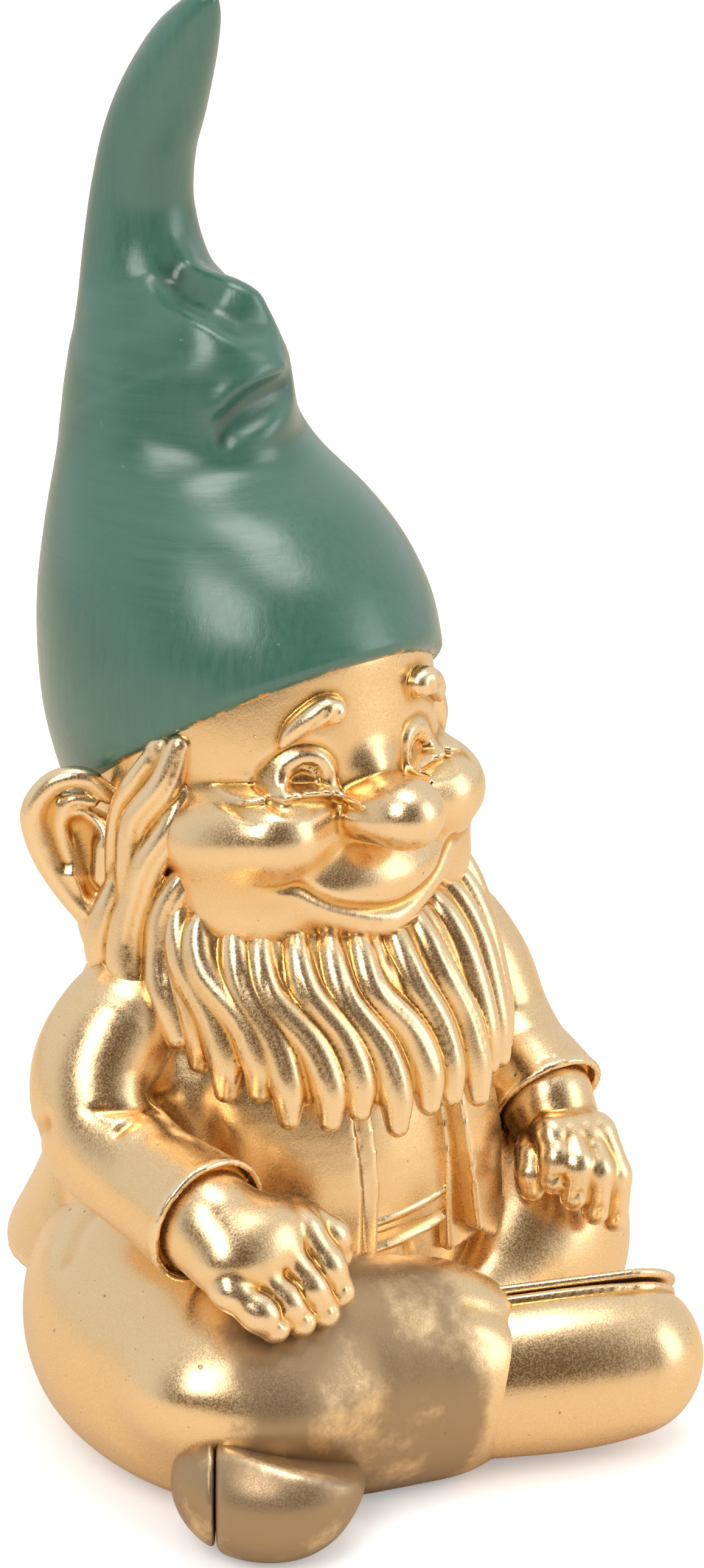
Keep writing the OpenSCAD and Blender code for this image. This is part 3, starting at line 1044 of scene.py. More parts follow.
@dataclass
class Hair:
    """Side locks in front of the ears and short locks at the back."""

    step: float = 0.6
    fuller: float = 1.22
    side_locks: Sequence[Sequence[Point]] = (
        ((32, -12.5, 148, 2), (34.5, -11, 140, 2.8), (37.3, -6, 132, 3.0), (38.2, -5.5, 125, 3.0),
         (38.6, -6, 117, 2.8)),
        ((31.5, -13, 138, 1.8), (34.5, -12.5, 131, 2.7), (37.2, -9.5, 124, 3.0), (38.5, -7.5, 117, 3.1),
         (40, -6, 109, 3.4), (41, -7, 101, 3.4), (40.5, -11, 95.5, 2.2)),
        ((35, -7, 144, 1.8), (36.5, -4.5, 139, 2.2), (37.3, -1.5, 134, 2.2), (38, 0, 127, 2.0),
         (38.5, 0.5, 119, 1.6)),
        ((31.5, -15, 123, 1.8), (34, -14, 119, 2.6), (36, -12.5, 113, 3.0), (37, -13, 106, 3.2),
         (37.8, -15, 98, 3.6), (37.5, -18.5, 90.5, 2.6)),
        ((37.5, -2, 120, 2.4), (39.5, 0, 112, 3.2), (41, 1, 104, 3.2), (41, -1, 97, 2.0)))

    def form(self) -> Clay:
        """Lays the locks over a backing mass."""
        c = Clay((-50, -22, 84), (50, 52, 156), self.step)
        for s in (-1, 1):
            c.cord([(s * 32, -8, 146, 4), (s * 34, -6, 130, 4.5), (s * 36, -5, 114, 5),
                    (s * 37.5, -7, 101, 4.5)], 1)
            for path in self.side_locks:
                rows = [(s * p[0], *p[1:3], self.fuller * p[3]) for p in path]
                c.cord(rows, 0.5, 7)
                inset = [(s * (p[0] + 0.6 * p[3]), p[1] - 0.7 * p[3], p[2]) for p in path[:-1]]
                c.press(inset, 0.5, 0.8)
            c.egg((s * 34, 7, 106), (5, 10, 11), 2)
            c.egg((s * 22, 27, 110), (9, 8, 15), 3)
        c.egg((0, 33, 110), (12, 8, 16), 3)
        c.egg((0, 26, 114), (24, 10, 14), 4)
        self.back_locks(c)
        return c

    def back_locks(self, c: Clay) -> None:
        """Short locks side by side round the back of the neck."""
        for i in range(-6, 7):
            a = math.radians(90 - i * 14)
            x, y = 31 * math.cos(a), 5 + 32 * math.sin(a)
            sway = 2 * math.sin(1.7 * i)
            c.cord([(0.93 * x, 0.93 * y, 128, 2), (1.03 * x + sway, 1.02 * y, 116, 3.2),
                    (1.06 * x - sway, 1.05 * y, 105, 3.2),
                    (x + sway, y, 95 + 2 * math.cos(2.3 * i), 1.6)], 0.6)

    def make(self, bench: Bench) -> None:
        """Casts the hair."""
        bench.cast("hair_casting", self.form(), GOLD, ["hair"])


@dataclass
class Beard:
    """A fan of wavy locks in two layers."""

    step: float = 0.6
    locks: int = 16

    def lock(self, t: float) -> tuple[Array, Array, Array]:
        """Root, middle and tip of the lock at t, from -1 on the right to 1 on the left."""
        a = math.radians(90 * t)
        b = math.radians(75 * t)
        root = np.array([33.5 * math.sin(a), -1 - 33 * math.cos(b), 112 + 8 * t * t])
        tip = np.array([35.5 * math.sin(a), -8 - 43 * math.cos(math.radians(74 * t)),
                        75.5 + 10 * abs(t) ** 2.4])
        return root, (root + tip) / 2 - np.array([0, 2, 0]), tip

    def form(self) -> Clay:
        """Sweeps every lock."""
        c = Clay((-46, -60, 56), (46, 4, 130), self.step)
        c.egg((0, -19, 104), (30, 15, 12), 3)
        c.egg((0, -24, 80), (27, 20, 10), 4)
        c.egg((0, -22, 92), (30, 20, 14), 4)
        for layer, set_back, size in ((1, 1.6, 3.2), (0, 0.0, 3.9)):
            for i in range(self.locks - layer):
                t = -1 + 2 * (i + 0.5 * layer) / (self.locks - 1)
                self.sweep(c, t, i, set_back, size)
        return c

    def sweep(self, c: Clay, t: float, i: int, set_back: float, size: float) -> None:
        """Sweeps one lock with its long crease.

        Args:
            c: The beard's clay.
            t: Where the lock sits round the chin.
            i: Its number, which varies its length.
            set_back: How far it lies behind the front layer.
            size: Its half width.
        """
        root, mid, tip = self.lock(t)
        turn = math.radians(80 * t)
        side = np.array([math.cos(turn), math.sin(turn), 0])
        out = np.array([side[1], -side[0], 0])
        right = np.array([-0.5, -3.2, -3.4, 1.4, 3.2, 2.6])
        left = np.array([-2.5, -0.6, 1.6, 2.2, 1.8, 1.6])
        blend = float(ease(np.array((t + 0.1) / 0.6)))
        shift = right * (1 - blend) + left * blend
        shift = shift * (1 + 0.25 * math.sin(3.7 * i))
        lift = np.array([-0.6, 1.0, 1.4, 0.8, 0.6, 0.4]) - set_back
        width = np.array([0.35, 0.72, 0.9, 1.0, 0.95, 0.62]) * size
        length = 1 + 0.05 * math.sin(2.3 * i + set_back) - 0.12 * (set_back > 0)
        rows = []
        for k, f in enumerate((0, 0.16, 0.38, 0.62, 0.84, 1.0)):
            f = f * length
            p = (1 - f) ** 2 * root + 2 * f * (1 - f) * (mid + np.array([0, -1, 2])) + f * f * tip
            rows.append((*(p + side * shift[k] + out * lift[k]), width[k]))
        c.cord(rows, 0.5, 7)
        crease = [np.array(r[:3]) + out * r[3] + side * (0.35 * r[3] * math.cos(1.9 * i)) for r in rows[1:5]]
        c.press(crease, 0.5, 0.3)

    def make(self, bench: Bench) -> None:
        """Casts the beard."""
        bench.cast("beard_casting", self.form(), GOLD, ["beard"])


@dataclass
class Ear:
    """Large ear with a rolled rim."""

    side: Side
    step: float = 0.45

    def form(self) -> Clay:
        """Cups the ear and rolls its rim."""
        s = self.side.value
        low, high = sorted((s * 30, s * 54))
        c = Clay((low, -4, 102), (high, 26, 148), self.step)
        ahead, aside = 0.643, 0.766     # sine and cosine of the ear's swing of 40 degrees

        def at(u: float, z: float, out: float = 0.0) -> tuple[float, float, float]:
            """A point on the ear's own plane, raised towards the front."""
            return s * (36 + aside * u + ahead * out), 5 + ahead * u - aside * out, z

        c.cord([(*at(-1, 122), 6), (*at(5, 126), 5.5), (*at(9, 130), 4.5)], 2)
        c.cord([(*at(0, 112), 4.5), (*at(5, 118), 5), (*at(9, 125), 5)], 3)
        c.cord([(*at(6, 127, 5), 4.2), (*at(4, 121, 5), 3.4), (*at(3, 115, 4), 2)], 2, remove=True)
        c.cord([(*at(8, 133, 5), 2.6), (*at(11, 129, 5), 2.4), (*at(9, 121, 5), 2.0)], 1.5, remove=True)
        c.cord([(*at(0, 134, 0), 2), (*at(5, 138, 1.5), 2.3), (*at(11, 137, 2), 2.4),
                (*at(15, 131, 2), 2.5), (*at(13.5, 123, 2), 2.4), (*at(9, 115, 2), 2.4),
                (*at(4, 109.5, 2), 2.6), (*at(0.5, 110, 1), 2.4)], 1.2)
        c.cord([(*at(3, 133, 1.5), 1.1), (*at(7.5, 133.4, 1.8), 1.4), (*at(9.5, 129, 1.5), 1.5),
                (*at(8, 122, 1.5), 1.3), (*at(4, 114.5, 1.2), 1)], 0.8)
        c.cord([(*at(1, 124, 3), 2), (*at(1, 118, 3), 2.4)], 1.5)
        return c

    def make(self, bench: Bench) -> None:
        """Casts the ear."""
        name = self.side.name.lower()
        bench.cast(f"{name}_ear_casting", self.form(), GOLD, [f"{name}_ear"])


TORSO = ([6, 28, 51, 52, 0], [2, 45, 45, 47.5, 0], [0, 62, 42.5, 45, 0], [0, 80, 41, 40, 0],
         [2, 93, 35, 32, 0], [3, 101, 27, 22, 0])


def torso(c: Clay, grow: float) -> Array:
    """Field of the trunk on a block's grid, grown outward."""
    body = Clay(c.low, c.low + 1, c.step / COARSE)
    body.axes = c.axes
    body.field = np.full_like(c.field, FAR)
    body.stack([[y, z, across + grow, deep + grow, lean] for y, z, across, deep, lean in TORSO], 2)
    return body.field


@dataclass
class Jacket:
    """Coat shell, its two front flaps and the shirt behind them."""

    step: float = 0.85
    wall: float = 4.0
    opening: float = 11.0
    shirt_bottom: float = 47.0
    flap_right: Sequence[Point] = ((-0.4, 36), (3, 36), (3.4, 50), (3.6, 65), (4, 90), (-0.4, 90))
    flap_left: Sequence[Point] = ((3, 60), (6, 42), (14, 36.5), (20, 44), (21, 58), (17, 72), (12, 92),
                                  (0, 92))

    def block(self) -> Clay:
        """An empty block that holds the trunk."""
        return Clay((-56, -58, 22), (56, 64, 108), self.step)

    def folds(self, c: Clay) -> None:
        """Soft creases where the arms pull the cloth."""
        for s in (-1, 1):
            c.press([(s * 36, -22, 88), (s * 38, -25, 76), (s * 37, -30, 62)], 3, 1.2)
            c.press([(s * 46, 14, 44), (s * 48, 24, 60)], 4, 1.0)
            c.press([(s * 20, 44, 40), (s * 24, 42, 70)], 5, 0.9)

    def shell(self) -> Clay:
        """The hollow coat, open at the front, with a wavy hem."""
        c = self.block()
        x, y, z = c.grid()
        c.field = soft_max(torso(c, 0), -torso(c, -self.wall), 0.8)
        c.trim(-np.maximum(np.abs(x) - self.opening, y + 10), 0.3)
        hem = 33.5 - 0.2 * np.clip(y, -20, 40) + 0.7 * np.sin(x * 0.21) * np.cos(y * 0.17)
        c.trim(hem - z, 1.2)
        self.folds(c)
        return c

    def shirt(self) -> Clay:
        """The belly panel, which laps behind the coat's edges."""
        c = self.block()
        x, y, z = c.grid()
        c.field = soft_max(np.maximum(torso(c, -1.2), np.abs(x) - self.opening - 2), y + 30, 0.5)
        c.trim(self.shirt_bottom - z, 0.5)
        return c

    def flap(self, side: Side, outline: Sequence[Point], outer: float, inner: float) -> Clay:
        """Shapes one front flap.

        Args:
            side: The side it hangs on.
            outline: Its corners seen from the front, measured from the opening's edge.
            outer: How far its face stands out from the trunk.
            inner: Where its back lies.

        Returns:
            The flap.
        """
        c = self.block()
        x, y, z = c.grid()
        c.field = soft_max(torso(c, outer), -torso(c, inner), 0.8)
        edge = x[:, :, 0] - side.value * self.opening
        c.trim(polygon_field(edge, z[0], np.array(outline))[:, None, :], 0.5)
        c.trim(y + 12, 1)
        return c

    def make(self, bench: Bench) -> None:
        """Casts the four pieces."""
        bench.cast("coat_shell", self.shell(), GOLD, ["jacket"])
        bench.cast("shirt_front", self.shirt(), GOLD, ["shirt"])
        for side, outline, outer, inner in ((Side.RIGHT, self.flap_right, 0.0, -3),
                                            (Side.LEFT, self.flap_left, 4.2, -0.6)):
            name = side.name.lower()
            bench.cast(f"{name}_coat_flap", self.flap(side, outline, outer, inner), GOLD,
                       [f"{name}_jacket_flap"])


def polygon_field(x: Array, z: Array, corners: Array) -> Array:
    """Distance to a closed outline, negative inside.

    Args:
        x: First coordinate.
        z: Second coordinate.
        corners: The outline's corners.

    Returns:
        The distance.
    """
    closed = np.vstack([corners, corners[:1]])
    d, _ = flat_distance(x, z, closed)
    inside = np.zeros(d.shape, dtype=bool)
    for a, b in zip(closed[:-1], closed[1:]):
        if a[1] == b[1]:
            continue
        crosses = ((z >= min(a[1], b[1])) & (z < max(a[1], b[1]))
                   & (x < a[0] + (z - a[1]) * (b[0] - a[0]) / (b[1] - a[1])))
        inside ^= crosses
    return np.where(inside, -d, d)


@dataclass
class Arm:
    """Sleeve with a flared cuff, and the hand that comes out of it."""

    side: Side
    sleeve: Sequence[Point]
    cuff: Sequence[Point]
    palm: Sequence[Point]
    fingers: Sequence[Sequence[Point]]
    thumb: Sequence[Point]
    nails: Sequence[Point] = ()
    slots: Sequence[Sequence[Point]] = ()
    folds: Sequence[Sequence[Point]] = ()
    creases: Sequence[Sequence[Point]] = ()
    step: float = 0.8
    fine: float = 0.5

    def sleeve_form(self) -> Clay:
        """Sweeps the sleeve and opens its cuff."""
        rows, cuff = np.array(self.sleeve), np.array(self.cuff)
        every = np.vstack([rows, cuff])[:, :3]
        c = Clay(every.min(0) - 18, every.max(0) + 18, self.step)
        c.cord(rows, 2, 6)
        for path in self.folds:
            c.press(path, 2.0, 1.7)
        for path in self.creases:
            c.press(path, 1.0, 1.3)
        self.open_cuff(c, cuff)
        return c

    def open_cuff(self, c: Clay, cuff: Array) -> None:
        """Cuts the sleeve off square, turns a thin lip and hollows the mouth.

        Args:
            c: The sleeve's clay.
            cuff: Rows of x, y, z and radius inside the sleeve and at its end.
        """
        reach, lip, hollow, cloth = 30, 0.25, 3, 1.1
        end, radius = cuff[1, :3], cuff[1, 3]
        d = end - cuff[0, :3]
        d = d / np.linalg.norm(d)
        x, y, z = c.grid()
        along = (x - end[0]) * d[0] + (y - end[1]) * d[1] + (z - end[2]) * d[2]
        away = np.sqrt(np.maximum((x - end[0]) ** 2 + (y - end[1]) ** 2 + (z - end[2]) ** 2 - along**2, 0))
        rim = np.exp(-((along + 1.2) / 1.1) ** 2) * (away < radius + 4)
        c.field -= (lip * rim).astype(np.float32)
        c.trim(np.where(along > -reach, along, -FAR), 0.7)
        c.trim(-np.maximum(away - (radius - cloth), -hollow - along), 0.8)

    def hand_form(self) -> Clay:
        """Palm, fingers with knuckles and nails, and the wrist."""
        paths = [*self.fingers, self.thumb]
        points = np.array([p[:3] for path in (self.palm, *paths) for p in path])
        c = Clay(points.min(0) - 12, points.max(0) + 12, self.fine)
        start, end = np.array(self.cuff)
        c.cord([(*(start[:3] + end[:3]) / 2, end[3] - 2.2), (*end[:3], end[3] - 2.8),
                (*self.palm[0][:3], end[3] - 3.8)], 1)
        for lump in self.palm:
            c.egg(lump[:3], lump[3:], 4)
        for path in paths:
            c.cord(path, 0.9, 6)
            for p in path[1:-1]:
                c.egg(p[:3], [p[3] * 1.08] * 3, 1.6)
        for slot in self.slots:
            c.press(slot, 0.6, 1.0)
        for nail in self.nails:
            self.nail(c, np.array(nail[:3]), nail[3], np.array(nail[4:]))
        return c

    def nail(self, c: Clay, at: Array, r: float, out: Array) -> None:
        """Frames a small nail with a groove.

        Args:
            c: The hand's clay.
            at: Where the nail is, near the fingertip.
            r: Half of its length.
            out: The direction that it faces.
        """
        at = c.settle(at[None])[0]
        out = out / np.linalg.norm(out)
        down = np.array([0, 0, -1.0]) - out * -out[2]
        down /= np.linalg.norm(down)
        side = np.cross(out, down)
        ring = [at + side * math.sin(t) * r * 0.75 - down * math.cos(t) * r
                for t in np.linspace(-2.2, 2.2, 9)]
        c.press(ring, 0.35, 0.45)

    def make(self, bench: Bench) -> None:
        """Casts the sleeve and the hand."""
        name = self.side.name.lower()
        bench.cast(f"{name}_sleeve_casting", self.sleeve_form(), GOLD, [f"{name}_sleeve"])
        bench.cast(f"{name}_hand_casting", self.hand_form(), GOLD, [f"{name}_hand"])


def right_arm() -> Arm:
    """The right arm, resting on the knee."""
    knuckles = ((-55, -56, 53.8), (-48.3, -56.3, 55.5), (-42.2, -56, 58.5), (-36.2, -55, 61))
    tips = ((-49.2, -62.3, 46.6), (-43, -62.6, 46), (-37, -62.6, 46), (-32.3, -61.5, 48.6))
    fingers = []
    for k, t in zip(knuckles, tips):
        middle = (0.45 * k[0] + 0.55 * t[0], 0.4 * k[1] + 0.6 * t[1] - 0.8, 0.45 * k[2] + 0.55 * t[2])
        fingers.append([(k[0] + 0.5, k[1] + 4, k[2] + 1.5, 3.8), (*k, 3.6), (*middle, 3.5), (*t, 3.2)])
    return Arm(
        Side.RIGHT,
        sleeve=[(-30, -2, 94, 10.5), (-42, -5, 90, 12.3), (-49, -6, 81, 12.8), (-51.5, -12, 71, 12.6),
                (-51, -24, 66, 11.8), (-50.3, -34, 64, 12.4), (-50, -47, 61.8, 13.8)],
        cuff=[(-50, -37, 63.5, 11), (-50, -43.5, 62.3, 13.2)],
        palm=[(-50, -45, 61, 9, 7.5, 8), (-47, -52, 57.5, 12.5, 8.5, 9), (-42, -51, 60, 9, 7.5, 7.5)],
        fingers=fingers,
        thumb=[(-38, -49, 60, 4), (-33, -52.5, 60.5, 3.7), (-29.2, -55.3, 57.5, 3.4),
               (-27.6, -56, 53.2, 2.8)],
        nails=[(t[0] - 0.6, t[1] - 2.7, t[2] + 0.6, 1.8, -0.35, -1, 0.35) for t in tips],
        slots=[[(-52, -58, 54.3), (-49.5, -61, 51), (-46.2, -64, 47.3)],
               [(-45.5, -58, 57.9), (-43, -61.5, 53), (-40.1, -64, 46.9)],
               [(-39.5, -58, 61.3), (-37, -61.5, 55), (-34.4, -64, 48.5)]],
        folds=[[(-38, -14, 72), (-42, -16, 68), (-50, -14, 60)], [(-40, -10, 76), (-46, -18, 79)],
               [(-62, -10, 76), (-60, -2, 70)]],
        creases=[[(-60, -16, 80), (-54, -21, 79.7), (-48.5, -22, 78.8), (-44, -22, 79)],
                 [(-58.5, -24, 76), (-54, -24, 77.5), (-50, -23, 79)]])


def left_arm() -> Arm:
    """The left arm, with the hand hanging over the knee."""
    tips = ((36.4, -47.2, 47.6), (39.4, -50.4, 44.2), (44, -52, 40.2), (49.2, -52.2, 37.2))
    middles = ((38, -46.4, 51.8), (41, -49.4, 50.6), (45, -51.2, 48.6), (49.6, -51.4, 46.6))
    fingers = []
    for i, (m, t) in enumerate(zip(middles, tips)):
        fingers.append([(41 + 2.4 * i, -39.5, 54.5, 3.6), (39.8 + 3.3 * i, -43 - i, 55.6 - 0.4 * i, 3.4),
                        (*m, 3.3), (*t, 2.9)])
    return Arm(
        Side.LEFT,
        sleeve=[(30, -2, 94, 10.5), (41, -5, 90, 12.3), (47, -9, 80, 12.8), (49, -14, 70, 12),
                (49, -22, 64, 11), (48.4, -28, 60.5, 11.8), (47.6, -36, 56, 12.8)],
        cuff=[(48.6, -27, 61.5, 11), (47.8, -33, 57.6, 12.2)],
        palm=[(47.5, -31, 57, 7.5, 7, 7), (46.5, -39, 52, 9, 8, 7)],
        fingers=fingers,
        thumb=[(42, -36, 52, 3.6), (38.5, -38.5, 50, 3.3), (36.5, -40.5, 47, 3.0), (36, -41.5, 44, 2.7)],
        nails=[(t[0] - 0.8, t[1] - 2.6, t[2] + 0.4, 1.7, -0.3, -1, 0.1) for t in tips],
        folds=[[(40, -16, 70), (46, -20, 74)], [(38, -12, 76), (44, -16, 80)]])


@dataclass
class Legs:
    """Trousers: both crossed legs, the seat and the waistband."""

    step: float = 0.9
    belt_step: float = 0.7
    belt_radius: float = 37.5
    belt_half: float = 4.0
    seat_slices: Sequence[Point] = ([3, 0.3, 34, 31, 0], [5, 8, 41, 37, 0], [5, 20, 43.5, 42, 0],
                                    [1, 33, 42, 44, 0], [-4, 46.5, 38.5, 38.5, 0])
    right: Sequence[Point] = (
        (-30, 4, 25, 20, 26, 24.5), (-41, -12, 25, 22.5, 24, 24.8), (-42, -36, 25.5, 23, 25, 25),
        (-24, -49, 23.5, 22, 20.5, 23.5), (-1, -57.5, 21, 17.8, 18.6, 21))
    left: Sequence[Point] = (
        (30, 4, 25, 20, 26, 24.5), (44, -12, 25, 22, 22, 24.8), (49, -26, 25, 20.5, 20, 24.8),
        (28, -34, 16, 16, 14, 15.8), (2, -40, 13, 12, 12, 12.8))

    def leg(self, eggs: Sequence[Point]) -> Clay:
        """Joins the leg's eggs into one smooth limb."""
        rows = np.array(eggs)
        c = Clay(rows[:, :3].min(0) - 28, (rows[:, 0].max() + 28, 34, 54), self.step)
        for r in smooth_path(rows, 4):
            c.egg(r[:3], r[3:], 5)
        c.stand(1.5)
        return c

    def right_leg(self) -> Clay:
        """The upper leg, which bulges over the tucked boot, with its creases."""
        c = self.leg(self.right)
        c.egg((-53, -46, 30), (16, 15, 12), 8)
        c.egg((-43, -51, 27), (18, 19, 12.5), 8)
        c.press([(-58, -8, 40), (-50, -2, 46), (-40, 2, 50)], 3, 1.0)
        c.press([(10, -74, 34), (2, -72, 38), (-8, -66, 40)], 2.5, 0.8)
        return c

    def seat(self) -> Clay:
        """The hips, with the fly seam in front."""
        c = Clay((-48, -46, -2), (48, 52, 56), self.step)
        c.stack(self.seat_slices, 2)
        c.stand(1)
        c.press([(0, -44, 46), (2, -45, 34), (3, -46, 22)], 1.2, 1.0)
        return c

    def belt(self) -> Clay:
        """A round band that rises towards the left, with a ridge along each edge."""
        c = Clay((-44, -48, 38), (44, 40, 56), self.belt_step)
        x, y, z = c.grid()
        rho = np.sqrt(x**2 + (y + 4) ** 2)
        high = z - (47.6 + 0.09 * x)
        band = np.maximum(np.abs(rho - self.belt_radius) - 2.6, np.abs(high) - self.belt_half)
        ridge = 0.9 * (np.exp(-((high - 3) / 0.8) ** 2) + np.exp(-((high + 3) / 0.8) ** 2))
        c.field = soft_min(c.field, (band - ridge).astype(np.float32), 1)
        return c

    @staticmethod
    def rub(p: Array) -> Array:
        """How rubbed the front of the right leg is, from 0 to 0.9."""
        front = np.clip((-40 - p[:, 1]) / 14, 0, 1)
        across = np.clip((4 - p[:, 0]) / 14, 0, 1) * np.clip((p[:, 0] + 64) / 10, 0, 1)
        return 0.9 * front * across

    def make(self, bench: Bench) -> None:
        """Casts the legs, the seat and the waistband."""
        bench.cast("right_trouser_leg_casting", self.right_leg(), GOLD, ["right_trouser_leg"],
                   {"rub": self.rub})
        bench.cast("left_trouser_leg_casting", self.leg(self.left), GOLD, ["left_trouser_leg"])
        bench.cast("trouser_seat_casting", self.seat(), GOLD, ["trouser_seat"])
        bench.cast("waistband_casting", self.belt(), GOLD, ["belt"])


@dataclass
class Boot:
    """Ankle boot lying on its side, with a separate sole."""

    side: Side
    at: Point
    turn: float
    roll: float
    radius: float = 16.5
    length: float = 33.0
    sole: float = 2.5
    step: float = 0.75

    def axes(self) -> Array:
        """Rows are the boot's own length, width and sole directions in the figure's frame."""
        a, b = math.radians(self.turn), math.radians(self.roll)
        along = np.array([math.cos(a), math.sin(a), 0])
        side = np.array([-math.sin(a), math.cos(a), 0])
        up = np.array([0, 0, 1.0])
        return np.array([along, side * math.cos(b) + up * math.sin(b), up * math.cos(b) - side * math.sin(b)])

    def local(self, c: Clay) -> list[Array]:
        """The grid in the boot's own coordinates."""
        x, y, z = c.grid()
        m = self.axes()
        p = (x - self.at[0], y - self.at[1], z - self.at[2])
        return [m[i][0] * p[0] + m[i][1] * p[1] + m[i][2] * p[2] for i in range(3)]

    def block(self) -> Clay:
        """An empty block round the boot."""
        m = self.axes()
        ends = np.array([self.at, np.array(self.at) + m[0] * self.length])
        return Clay(ends.min(0) - 20, ends.max(0) + 20, self.step)

    def make(self, bench: Bench) -> None:
        """Casts the boot and its sole."""
        name = self.side.name.lower()
        face = self.radius - self.sole - 2
        bench.cast(f"{name}_boot_casting", self.upper(face), GOLD, [f"{name}_boot"])
        bench.cast(f"{name}_sole_casting", self.slab(face), GOLD, [f"{name}_sole"])

    def upper(self, face: float) -> Clay:
        """The rounded boot, cut flat at the sole's face, with a seam and a welt."""
        c = self.block()
        at, along = np.array(self.at), self.axes()[0]
        swell = ((0, 17), (9, 17.4), (18, 17.7), (26, 17.4), (33, 16.5))
        c.cord([(*(at + along * t), r) for t, r in swell], 1)
        depth = self.local(c)[2] - face
        c.trim(depth, 1.5)
        seam = 0.5 * np.exp(-((depth + 2.2) / 0.7) ** 2)
        welt = 0.9 * np.exp(-((depth + 0.6) / 1.0) ** 2)
        c.field += (seam - welt).astype(np.float32)
        return c

    def slab(self, face: float) -> Clay:
        """The sole, a long rounded slab that widens towards the toe."""
        c = self.block()
        u, v, w = self.local(c)
        t = np.clip(u / self.length, 0, 1)
        edge = np.sqrt((u - t * self.length) ** 2 + v**2) - (12.8 + t)
        thick = np.abs(w - face - 0.3 - self.sole / 2) - self.sole / 2 + 0.3
        c.field = soft_max(edge, thick, 1.0).astype(np.float32)
        return c


@dataclass
class TuckedBoot:
    """The left boot, seen toe on beneath the right leg, with its thick sole outward."""

    at: Point = (-51, -66, 12)
    turn: float = -40
    split: float = -12.4
    gap: float = 0.3
    step: float = 0.65

    def shape(self) -> Clay:
        """The whole boot with its sole still on."""
        x0, y0, z0 = self.at
        c = Clay((-76, -92, -3), (-18, -40, 36), self.step)
        c.egg((x0 + 0.5, y0, z0 + 3.5), (16, 13, 9), 4, (0, 0, self.turn))
        c.egg((x0 - 1, y0 - 0.5, z0 - 2), (13.2, 11.5, 9.8), 6, (0, 0, self.turn))
        c.egg((-42, -60, 12.2), (12.5, 11, 12), 8)
        c.egg((-53, -57, 13), (14, 14, 13), 8)
        x, _, z = c.grid()
        c.trim(0.93 * (z - 24.5 + 0.38 * (x + 60)), 1.5)
        c.stand(2.0)
        return c

    @staticmethod
    def rub(p: Array) -> Array:
        """How rubbed the boot is, from 0 at the top to 1."""
        return np.clip((31 - p[:, 2]) / 12, 0, 1)

    def make(self, bench: Bench) -> None:
        """Splits the form at the welt and casts both sides."""
        a = math.radians(self.turn)
        for piece in ("boot", "sole"):
            c = self.shape()
            x, y, _ = c.grid()
            across = (x - self.at[0]) * math.cos(a) + (y - self.at[1]) * math.sin(a)
            c.trim(self.split - across if piece == "boot" else across - self.split + self.gap, 1.6)
            bench.cast(f"left_{piece}_casting", c, GOLD, [f"left_{piece}"], {"rub": self.rub})


def dress_base(bench: Bench) -> None:
    """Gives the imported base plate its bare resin."""
    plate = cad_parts["base_plate"]
    plate.data.materials.clear()
    plate.data.materials.append(bench.finishes.get(RESIN))
    log.info("base_plate: dressed")


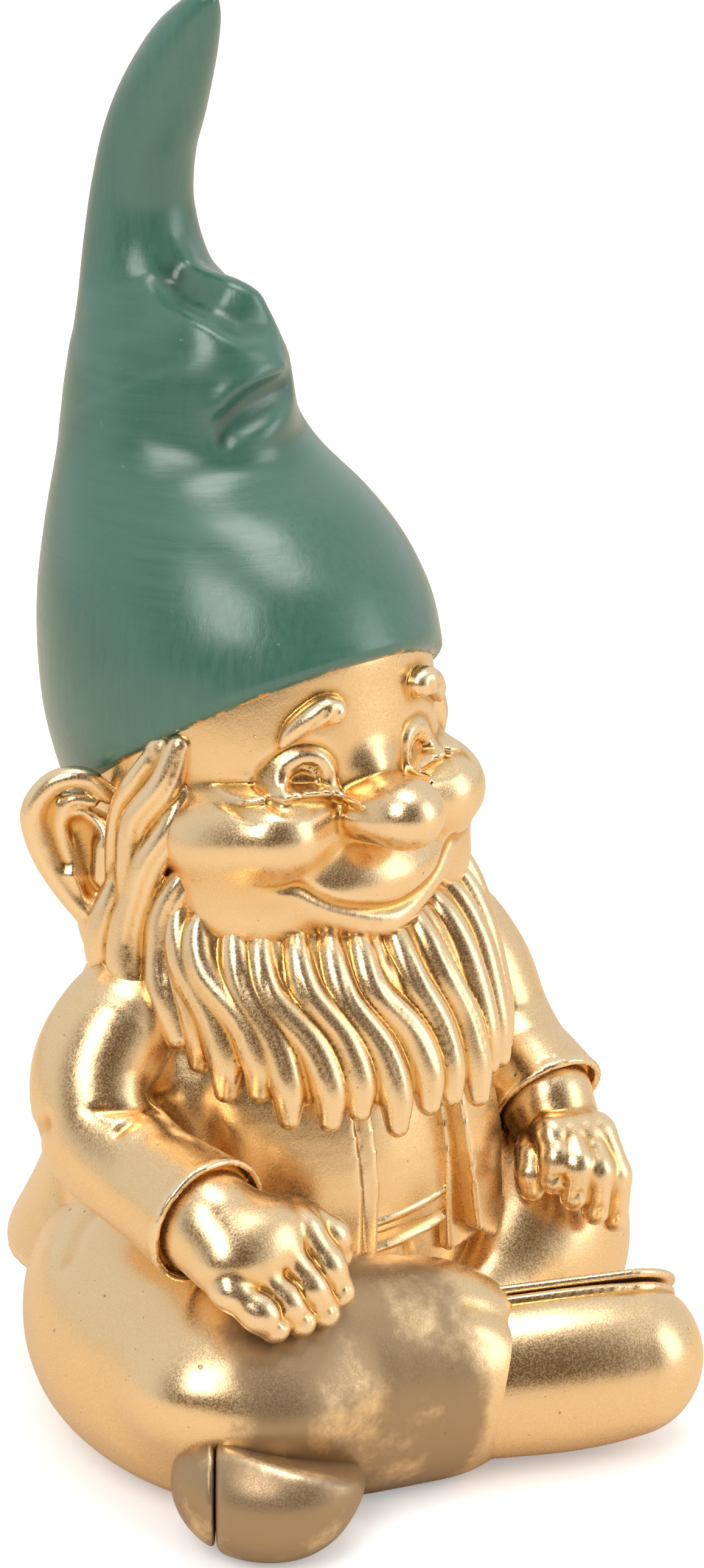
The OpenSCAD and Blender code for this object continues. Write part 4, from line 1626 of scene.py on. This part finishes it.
@dataclass
class Studio:
    """Pale floor, soft lights and the camera."""

    target: Point = (10, -15, 131)
    distance: float = 1100
    azimuth: float = -40
    elevation: float = 20
    lens: float = 126.06
    sensor: float = 36
    aim_height: float = 0.13
    floor_half: float = 8.0
    floor_colour: Point = (0.93, 0.93, 0.93, 1)
    floor_glow: float = 0.3
    floor_tone: Point = (0.78, 0.66, 0.52, 1)
    dark: Point = (0.15, 0.09, 0.045, 1)
    dark_from: float = 74
    dark_full: float = 30
    room_strength: float = 0.78
    backdrop: Point = (1.3, 1.3, 1.3, 1)
    softboxes: Sequence[tuple[str, Point, tuple[float, float], float]] = (
        ("key", (-1.2, -0.7, 1.4), (0.8, 1.2), 13),
        ("fill", (1.0, -1.2, 0.6), (0.7, 1.1), 4),
        ("top", (0.1, -0.3, 1.9), (0.7, 0.9), 9))

    def away(self) -> Vector:
        """Direction from the figure to the camera."""
        a, e = math.radians(self.azimuth), math.radians(self.elevation)
        return Vector((math.sin(a) * math.cos(e), -math.cos(a) * math.cos(e), math.sin(e)))

    def camera(self) -> None:
        """Sets the camera at the viewing angle."""
        away = self.away()
        data = bpy.data.cameras.new("camera")
        camera = bpy.data.objects.new("camera", data)
        camera.location = (Vector(self.target) + away * self.distance) * MM
        camera.rotation_euler = (-away).to_track_quat("-Z", "Y").to_euler()
        data.lens = self.lens
        data.sensor_fit = "VERTICAL"
        data.sensor_height = self.sensor
        bpy.context.collection.objects.link(camera)
        bpy.context.scene.camera = camera

    def softbox(self, name: str, place: Point, size: tuple[float, float], power: float) -> None:
        """Adds a rectangular light aimed at the figure.

        Args:
            name: The light's name.
            place: Where it hangs, in metres.
            size: Its width and height, in metres.
            power: Its power, in watts.
        """
        data = bpy.data.lights.new(name, "AREA")
        data.shape = "RECTANGLE"
        data.size, data.size_y = size
        data.energy = power
        lamp = bpy.data.objects.new(name, data)
        lamp.location = place
        aim = Vector((0, 0, self.aim_height)) - Vector(place)
        lamp.rotation_euler = aim.to_track_quat("-Z", "Y").to_euler()
        bpy.context.collection.objects.link(lamp)

    def floor(self) -> None:
        """A wide pale floor that mirrors in the paint as a warmer tone."""
        mesh = bpy.data.meshes.new("floor")
        half = self.floor_half
        mesh.from_pydata([(x * half, y * half, 0) for x, y in ((-1, -1), (1, -1), (1, 1), (-1, 1))], [],
                         [(0, 1, 2, 3)])
        floor = bpy.data.objects.new("floor", mesh)
        bpy.context.collection.objects.link(floor)
        material = bpy.data.materials.new("pale floor")
        material.use_nodes = True
        shader = material.node_tree.nodes["Principled BSDF"]
        shader.inputs["Roughness"].default_value = 0.7
        shader.inputs["Emission Color"].default_value = WHITE
        w = Wiring(material.node_tree)
        path = w.add("ShaderNodeLightPath")
        w.join(w.mix(path.outputs["Is Glossy Ray"], self.floor_colour, self.floor_tone),
               shader.inputs["Base Color"])
        w.join(w.math("MULTIPLY", path.outputs["Is Camera Ray"], self.floor_glow),
               shader.inputs["Emission Strength"])
        mesh.materials.append(material)

    def world(self) -> None:
        """White room with a dim opening on the viewer's side, which only reflections see."""
        world = bpy.data.worlds.new("studio")
        world.use_nodes = True
        w = Wiring(world.node_tree)
        back = world.node_tree.nodes["Background"]
        path = w.add("ShaderNodeLightPath")
        toward = w.add("ShaderNodeVectorMath", operation="DOT_PRODUCT")
        w.join(w.add("ShaderNodeTexCoord").outputs["Generated"], toward.inputs[0])
        toward.inputs[1].default_value = self.away()
        dim = w.ramp(toward.outputs["Value"], math.cos(math.radians(self.dark_from)),
                     math.cos(math.radians(self.dark_full)))
        dim = w.math("MULTIPLY", dim, path.outputs["Is Glossy Ray"])
        room = w.mix(dim, WHITE, self.dark)
        w.join(w.mix(path.outputs["Is Camera Ray"], room, self.backdrop), back.inputs["Color"])
        back.inputs["Strength"].default_value = self.room_strength
        bpy.context.scene.world = world

    def make(self) -> None:
        """Sets up the camera, the floor, the room and the lights."""
        self.camera()
        self.floor()
        self.world()
        for name, place, size, power in self.softboxes:
            self.softbox(name, place, size, power)
        bpy.context.scene.view_settings.view_transform = "Standard"


def main() -> None:
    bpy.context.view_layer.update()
    Studio().make()
    bench = Bench()
    Hat().make(bench)
    Head().make(bench)
    Hair().make(bench)
    Beard().make(bench)
    for side in Side:
        Ear(side).make(bench)
    Jacket().make(bench)
    right_arm().make(bench)
    left_arm().make(bench)
    Legs().make(bench)
    Boot(Side.RIGHT, (2, -60, 19.2), -24, -40).make(bench)
    TuckedBoot().make(bench)
    dress_base(bench)


if __name__ == "__main__":
    logging.basicConfig(level=logging.INFO, format="%(message)s")
    main()
